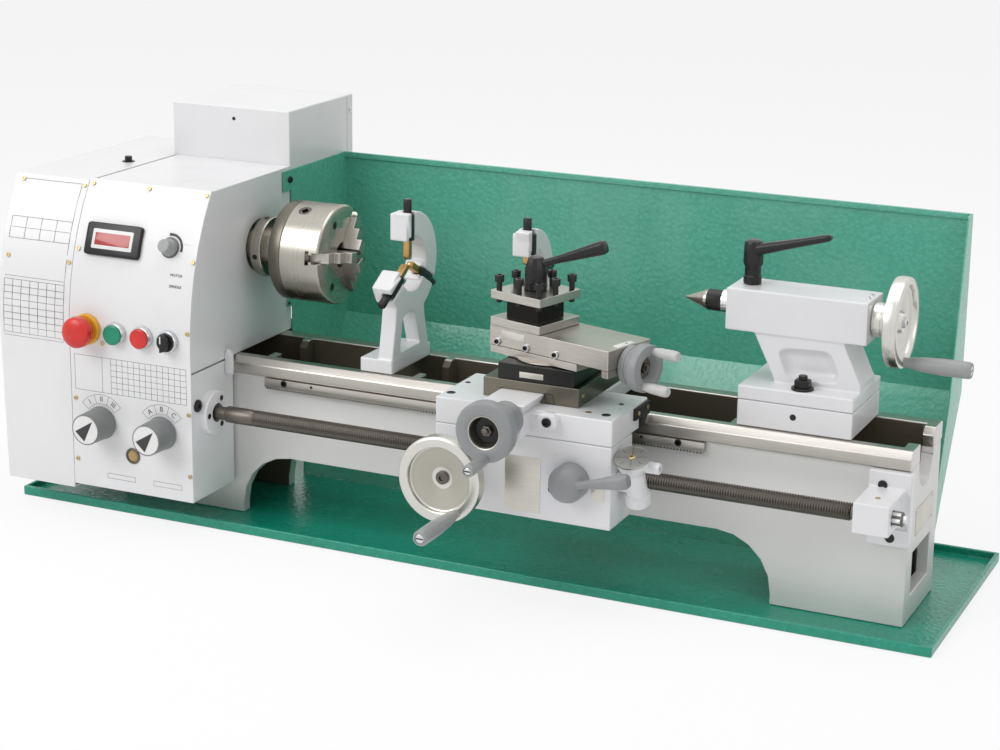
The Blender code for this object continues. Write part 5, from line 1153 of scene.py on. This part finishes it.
def thread_dial():
    """The dial's turned housing with its side boss, and the dial face with its scribed lines."""
    softened("thread_dial_housing", "cast", 0.8, 4)
    centre = pivot("thread_dial_turn")
    axis = np.array(joint("thread_dial_turn")["axis"], float)
    face = [(-20.0, 2.8), (0.3, 2.8), (0.3, 19.4), (1.0, 20.0), (2.6, 20.0), (3.2, 19.6), (3.2, 17.6),
        (3.0, 17.4), (3.0, 0.4)]
    LOOKS["dial"] = metal("dial steel", (0.42, 0.42, 0.40), 0.34, centre=tuple(centre), axis=2)
    turned("thread_dial_face", face, centre, axis, "dial", "dial", 72, node="thread_dial")
    right = np.array([1.0, 0.0, 0.0])
    up = np.cross(axis, right)
    plane = facing(centre, right, up)
    lines = []
    for number in range(8):
        a = TAU * (number + 0.3) / 8
        start, end = (4.5, 16.8) if number % 2 == 0 else (11.0, 16.8)
        path = on(plane, [(r * math.cos(a), r * math.sin(a)) for r in np.linspace(start, end, 4)], 3.0)
        lines.append(strip_rings(path, np.repeat(axis[None], 4, 0), 0.6, 0.08))
    points, faces = skins(lines)
    piece("thread_dial_lines", points, faces, "ink", "dial")
    pin = [(2.8, 3.6), (4.0, 3.6), (4.2, 3.2), (4.2, 1.8, 6), (3.0, 1.8, 6)]
    turned("thread_dial_pin", pin, centre, axis, "brass", "dial", 32)
    boss = [(0.0, 6.6), (20.0, 6.6), (21.0, 5.8), (21.0, 3.2), (12.0, 3.2), (12.0, 0.4)]
    spot = centre + (8.0, 10.0, -10.0)
    turned("dial_side_boss", boss, spot, (1, 0, 0), "cast", "carriage", 40)
    bore = [(12.1, 3.1), (12.6, 3.1), (12.6, 0.4)]
    turned("dial_side_bore", bore, spot, (1, 0, 0), "black", "carriage", 32)


# ---- top slide and tool post ----

def compound(along, aside, z):
    """A point along and beside the top slide from its swivel."""
    x, y, _ = pivot("compound_swivel")
    c, s = math.cos(COMPOUND_TURN), math.sin(COMPOUND_TURN)
    return np.array([x + along * c - aside * s, y + along * s + aside * c, z])


ALONG = np.array([math.cos(COMPOUND_TURN), math.sin(COMPOUND_TURN), 0.0])
ASIDE = np.array([-math.sin(COMPOUND_TURN), math.cos(COMPOUND_TURN), 0.0])


def top_slide():
    """The top slide with its gib screws and plates, and its wheel with two grips."""
    eased("top_slide_base", "slide", 0.5, 1)
    z1 = high("top_slide", "Z")
    front = -33.5
    spots = [compound(along, front, 281.5) for along in (-52.0, -10.0, 32.0)]
    eased("top_slide", "slide", 0.8, 2, [hole(spot, -ASIDE, 4.6, 3.0) for spot in spots])
    ring = [(-2.8, 4.4), (2.2, 4.4), (2.8, 3.9), (2.8, 2.9), (-2.8, 2.9)]
    for number, spot in enumerate(spots, 1):
        turned("gib_lock_nut_%d" % number, ring, spot, -ASIDE, "bezel", "top_slide_line", 36, True)
        screw("slide_gib_screw_%d" % number, spot + ASIDE * 2.0, -ASIDE, 2.85, 6.2, "top_slide_line")
    plane = facing(compound(0, front, 0), ALONG, (0, 0, 1))
    slab("slide_maker_plate", plane, round_box(34, 8.0, 0.6, (-30.0, z1 - 7.5)), -0.2, 0.35, "plate",
        "top_slide_line", 0.1)
    index = facing(compound(0, 0, z1), ALONG, ASIDE)
    outline = round_box(9.0, 30.0, 1.0, (100.0, 2.0))
    slab("feed_index_plate", index, outline, -0.2, 0.9, "print white", "top_slide_line")
    mark = [(0.7, 1.5), (1.05, 1.5), (1.05, 0.3)]
    turned("feed_index_mark", mark, compound(100.0, 6.0, z1), (0, 0, 1), "ink", "top_slide_line", 24)
    centre = pivot("top_wheel_turn")
    r = 27.0
    profile = [
        (-12.0, 4.8), (0.3, 4.8), (0.3, 21.4), (1.0, 22.0), (7.8, 22.0), (8.2, 21.4), (8.8, 21.4),
        (9.2, 22.0), (13.0, 22.0), (13.5, r - 3.0), (15.0, r - 0.6), (16.5, r), (25.0, r), (26.8, r - 0.8),
        (27.5, r - 2.2), (27.5, 15.4), (27.0, 14.8), (20.0, 12.6), (19.5, 12.0), (19.5, 0.4),
    ]
    wheel("top_slide_wheel", "top_wheel_line", centre, ALONG, profile, "grey")
    recess = [(19.2, 11.8), (20.0, 11.8), (20.0, 0.4)]
    turned("top_wheel_recess", recess, centre, ALONG, "dark", "top_wheel_line", 48)
    nut = [(19.8, 6.0, 6), (24.0, 6.0, 6), (24.0, 3.0), (26.0, 3.0), (26.0, 0.4)]
    turned("top_wheel_nut", nut, centre, ALONG, "dark", "top_wheel_line", 48)
    for number, angle in enumerate((65.0, 245.0)):
        a = math.radians(angle)
        spot = centre + ASIDE * 20 * math.cos(a) + np.array([0, 0, 20 * math.sin(a)])
        knob = [(23.0, 4.2), (29.0, 4.2), (31.0, 4.8), (37.0, 5.6), (52.0, 6.1), (58.0, 5.9), (60.0, 4.9),
            (60.4, 3.4), (60.4, 0.4)]
        turned("top_wheel_grip_%d" % (number + 1), knob, spot, ALONG, "pale grip", "top_wheel_line", 40)


def tool_post():
    """The post with its eight clamp screws, and its ratchet lever."""
    eased("tool_post", "post", 0.8, 2)
    centre = pivot("tool_post_turn")
    top = high("tool_post", "Z")
    spots = [centre + ALONG * a + ASIDE * b for a in (-29, 0, 29) for b in (-29, 0, 29) if a or b]
    profile = [
        (-15.0, 2.8), (-14.5, 3.2), (9.0, 3.2), (9.0, 5.2), (16.0, 5.4), (17.0, 4.8), (17.0, 2.9, 6),
        (13.0, 2.9, 6)]
    for number, spot in enumerate(spots, 1):
        turned("post_screw_%d" % number, profile, (spot[0], spot[1], top), (0, 0, 1), "black", "post", 36)
    base = low("tool_post_lever", "Z")
    hub = [
        (0.0, 12.6), (0.8, 13.2), (7.0, 13.2), (7.6, 12.2), (8.2, 12.8, 12), (24.0, 12.4, 12), (34.0, 9.4, 12),
        (36.4, 8.0, 12), (37.0, 6.6), (37.0, 0.4)]
    turned("tool_post_hub", hub, (centre[0], centre[1], base), (0, 0, 1), "bakelite", "post_lever", 72,
           node="tool_post_lever", sharp=25.0)
    rise = math.radians(20.0)
    along = np.array([4.0, 16.0, 26.0, 34.0, 50.0, 66.0, 80.0, 86.0, 89.0, 90.0])
    path = np.stack([centre[0] + along * math.cos(rise), 0 * along + centre[1],
        base + 27.0 + along * math.sin(rise)], 1)
    size = np.array([4.4, 4.4, 4.4, 4.8, 5.8, 6.9, 7.9, 7.9, 6.8, 3.6])
    swept("tool_post_arm", path, np.stack([size, size], 1), "bakelite", "post_lever")


# ---- rests ----

def rests():
    """The two white rests with their rounded bosses, bronze-tipped fingers and black stems."""
    softened("steady_rest", "cast", 1.1, 7)
    softened("follow_rest", "cast", 1.1, 7)
    steady, follow = (4.0, 78.0, 3.2), (14.0, 71.0, 6.0)
    fingers = (
        ("steady_finger_1", 90.0, "steady_top_finger", steady),
        ("steady_finger_2", 210.0, "steady_front_finger", steady),
        ("steady_finger_3", 330.0, "steady_back_finger", steady),
        ("follow_finger_1", 90.0, "follow_top_finger", follow),
        ("follow_finger_2", 0.0, "follow_back_finger", follow),
    )
    bar = round_box(8.6, 8.4, 1.2)
    for node, angle, body, (tip, end, stand) in fingers:
        out = spoke(math.radians(angle))
        middle = np.array([(low(node, "X") + high(node, "X")) / 2, 0.0, AXIS_Z])
        plane = (middle, np.array([1.0, 0.0, 0.0]), np.cross(out, (1.0, 0.0, 0.0)), out)
        levels = ((tip, 0.3), (tip + 3.5, 0.94), (tip + 4.5, 1.0), (31.0, 1.0))
        points, faces = skins([np.array([on(plane, bar * share, height) for height, share in levels])])
        piece(node + "_tip", points, faces, "bronze", body, node=node)
        carrier = round_box(8.8, 8.6, 1.6, (stand, 0.0))
        slab(node + "_carrier", plane, carrier, 28.0, end - 19.0, "black", body, 0.6)
        knurl = [(end - 20.0, 4.2), (end - 17.0, 5.0), (end - 1.5, 5.0), (end, 4.0), (end, 0.4)]
        turned(node + "_stem", knurl, middle, out, "bakelite", body, 36)


# ---- tailstock ----

def tailstock():
    """The tailstock castings, quill, clamp nut, lever and wheel."""
    eased("tailstock_base", "cast", 1.8, 3)
    spot = (707.9, low("tailstock_base", "Y"), 222.5)
    screw("tailstock_set_screw", spot, (0, -1, 0), 3.6, 0.4, "tailstock")
    recess = smooth_loop(
        [(676.0, 292.0), (735.0, 295.0), (742.0, 287.0), (751.0, 267.0), (746.0, 258.0), (690.0, 257.0)], 6)
    plane = facing_operator(-28.0)
    levels = ((5.0, -1.0), (-3.0, 1.5), (-8.0, 5.0), (-10.0, 9.5))
    cup = solid("cutter", *skins([[on(plane, inset(recess, draw), height) for height, draw in levels]]))
    softened("tailstock_body", "cast", 1.1, 6, [cup])
    top = high("tailstock_body", "Z")
    row("barrel_oiler", [(692.0, 1.5, top), (738.5, 2.0, top)], (0, 0, 1), 2.4, 0.5, "tailstock", "cast")
    spots = [(772.5, y, top - 1.0) for y in (-6.0, 8.0)]
    row("barrel_screw", spots, (0, 0, 1), 2.6, 2.6, "tailstock", "bezel")
    nut = [(-1.0, 12.5), (2.2, 12.5), (2.6, 12.0), (2.6, 9.6, 6), (10.5, 9.6, 6), (11.5, 8.6, 6),
        (11.5, 5.0), (15.5, 5.0), (16.0, 4.4), (16.0, 0.4)]
    turned("tailstock_clamp_nut", nut, (713.0, -40.5, 251.6), (0, 0, 1), "black", "tailstock", 48)
    tip, right = low("quill", "X"), high("quill", "X")
    sleeve = [(604.0, 10.0), (604.4, 13.4), (605.0, 14.0), (right, 14.0)]
    turned("quill_sleeve", sleeve, SPINDLE, (1, 0, 0), "chrome", "quill_line", 72, node="quill")
    collar = [(585.6, 9.0), (586.2, 11.4), (587.0, 12.2), (603.2, 12.2), (604.2, 11.6), (604.2, 9.0)]
    turned("centre_collar", collar, SPINDLE, (1, 0, 0), "black", "quill_line", 64)
    point = [(tip, 0.3), (582.0, 10.4), (583.0, 11.0), (586.6, 11.0)]
    turned("centre_point", point, SPINDLE, (1, 0, 0), "turned", "quill_line", 64)
    centre = pivot("quill_lock_turn")
    hub = [
        (0.0, 9.0), (1.0, 10.2), (9.0, 10.2), (10.0, 9.2), (20.0, 9.2), (22.0, 10.6), (25.0, 11.2),
        (46.0, 10.6), (48.6, 9.4), (50.0, 6.0), (50.0, 0.4)]
    turned("quill_lock_hub", hub, centre, (0, 0, 1), "bakelite", "quill_lock", 56, node="quill_lock_lever")
    along = np.array([2.0, 10.0, 20.0, 40.0, 60.0, 78.0, 90.0, 95.0, 98.0])
    tilt, swing = math.radians(16.0), math.radians(-9.0)
    level = along * math.cos(tilt)
    path = np.stack([
        centre[0] + level * math.cos(swing), centre[1] + level * math.sin(swing),
        centre[2] + 38.0 + along * math.sin(tilt)], 1)
    wide = np.array([9.0, 8.6, 8.0, 7.2, 6.4, 5.6, 5.0, 4.4, 2.4])
    tall = np.array([7.0, 6.8, 6.4, 5.4, 4.8, 4.4, 4.2, 3.8, 2.0])
    swept("quill_lock_arm", path, np.stack([wide, tall], 1), "bakelite", "quill_lock")
    face = high("tailstock_wheel", "X")
    r = 51.0
    profile = [
        (right - 38.0, 6.0), (779.3, 6.0), (779.3, 18.6), (780.0, 19.4), (789.0, 19.4), (789.4, 18.8),
        (790.0, 18.8), (790.4, 19.4), (797.0, 19.0), (799.0, 16.0), (800.5, 18.0), (800.0, r - 12.0),
        (799.7, r - 9.0), (799.6, r - 3.0), (800.6, r - 1.0), (804.0, r), (811.5, r), (814.4, r - 0.9),
    ] + behind(
        face, (0.0, r - 2.6), (0.0, r - 8.4), (1.0, r - 9.4), (5.0, r - 10.4), (7.0, r - 13.0), (9.6, 16.0),
        (9.2, 13.0), (4.0, 11.0), (4.0, 0.4))
    LOOKS["rim"] = metal("satin wheel steel", (0.66, 0.645, 0.61), 0.25, centre=SPINDLE, axis=0)
    wheel("tailstock_wheel", "tail_wheel_line", SPINDLE, (1, 0, 0), profile, "rim", 128)
    screw("tailstock_wheel_bolt", (face - 4.0, 0, AXIS_Z), (1, 0, 0), 6.0, 3.6, "tail_wheel_line", "bezel")
    axis = np.array([1.0, 0.0, 0.0])
    grip("tailstock_grip", "tail_wheel_grip", pivot("tailstock_grip_turn"), axis, 76.0, 5.5, 9.5)


def smooth_loop(outline, steps):
    """A closed outline with its corners rounded: each is replaced by a quadratic curve between side points."""
    outline = np.asarray(outline, float)
    before, after = np.roll(outline, 1, 0), np.roll(outline, -1, 0)
    start, end = outline + (before - outline) * 0.32, outline + (after - outline) * 0.32
    t = np.linspace(0, 1, steps)[None, :, None]
    curve = (1 - t) ** 2 * start[:, None] + 2 * t * (1 - t) * outline[:, None] + t ** 2 * end[:, None]
    return curve.reshape(-1, 2)


# ---- stage ----

FLOOR_GLOW, SKY_LIGHT = 0.82, 0.42


def stage():
    """A pale floor and a light world that are white to the eye, soft lamps, and the camera."""
    mesh = bpy.data.meshes.new("floor")
    half, drop = 30.0, -0.0006
    corners = [(-half, -half, drop), (half, -half, drop), (half, half, drop), (-half, half, drop)]
    mesh.from_pydata(corners, [], [(0, 1, 2, 3)])
    linked(bpy.data.objects.new("floor", mesh))
    pale = Finish("pale floor", (0.93, 0.93, 0.93), 0.9)
    seen = pale.seen()
    glow = pale.node("ShaderNodeEmission", None, {"Color": (1.0, 1.0, 1.0, 1.0), "Strength": 1.0})
    share = seen.math("MINIMUM", 1.0) * FLOOR_GLOW
    plain = Wire(pale, pale.shader.outputs[0])
    both = pale.node("ShaderNodeMixShader", None, {0: share, 1: plain, 2: glow})
    pale.tree.links.new(both.socket, pale.tree.nodes["Material Output"].inputs[0])
    mesh.materials.append(pale.made)
    world = bpy.data.worlds.new("studio")
    bpy.context.scene.world = world
    world.use_nodes = True
    world.node_tree.nodes.clear()
    sky = Nodes(world.node_tree)
    sockets = {"To Min": SKY_LIGHT, "To Max": 1.0, "Value": sky.seen(clamp=True)}
    strength = sky.node("ShaderNodeMapRange", None, sockets)
    sockets = {"Color": (1.0, 1.0, 1.0, 1.0), "Strength": strength}
    background = sky.node("ShaderNodeBackground", None, sockets)
    sky.node("ShaderNodeOutputWorld", None, {0: background})
    lamps = (
        ("key", (-1.5, -2.6, 2.4), 2.2, 62.0), ("top", (0.3, 0.2, 2.9), 2.4, 34.0),
        ("side", (2.8, -1.0, 1.4), 1.4, 7.0),
    )
    aim = Vector((0.28, 0.0, 0.22))
    for name, spot, size, power in lamps:
        lamp = bpy.data.lights.new(name, "AREA")
        lamp.size, lamp.energy = size, power
        holder = linked(bpy.data.objects.new(name, lamp))
        holder.location = spot
        holder.rotation_euler = (aim - Vector(spot)).to_track_quat("-Z", "Y").to_euler()
    yaw, pitch, roll = (math.radians(value) for value in (24.49, 14.78, 0.79))
    ahead = Vector((-math.sin(yaw) * math.cos(pitch), math.cos(yaw) * math.cos(pitch), -math.sin(pitch)))
    right = Vector((math.cos(yaw), math.sin(yaw), 0.0))
    up = right.cross(ahead)
    right, up = math.cos(roll) * right + math.sin(roll) * up, math.cos(roll) * up - math.sin(roll) * right
    lens = bpy.data.cameras.new("camera")
    lens.sensor_width, lens.lens, lens.shift_x, lens.shift_y = 36.0, 81.1, -0.0044, -0.053
    camera = linked(bpy.data.objects.new("camera", lens))
    spot = (1.3995, -2.341, 0.951)
    camera.matrix_world = Matrix([(right[i], up[i], -ahead[i], spot[i]) for i in range(3)] + [(0, 0, 0, 1)])
    bpy.context.scene.camera = camera
    bpy.context.scene.view_settings.view_transform = "Standard"


lathe_bed()
guard_details()
leadscrew()
bracket()
headstock()
controls()
motor_and_back()
chuck()
carriage()
wheels()
thread_dial()
top_slide()
tool_post()
rests()
tailstock()
stage()
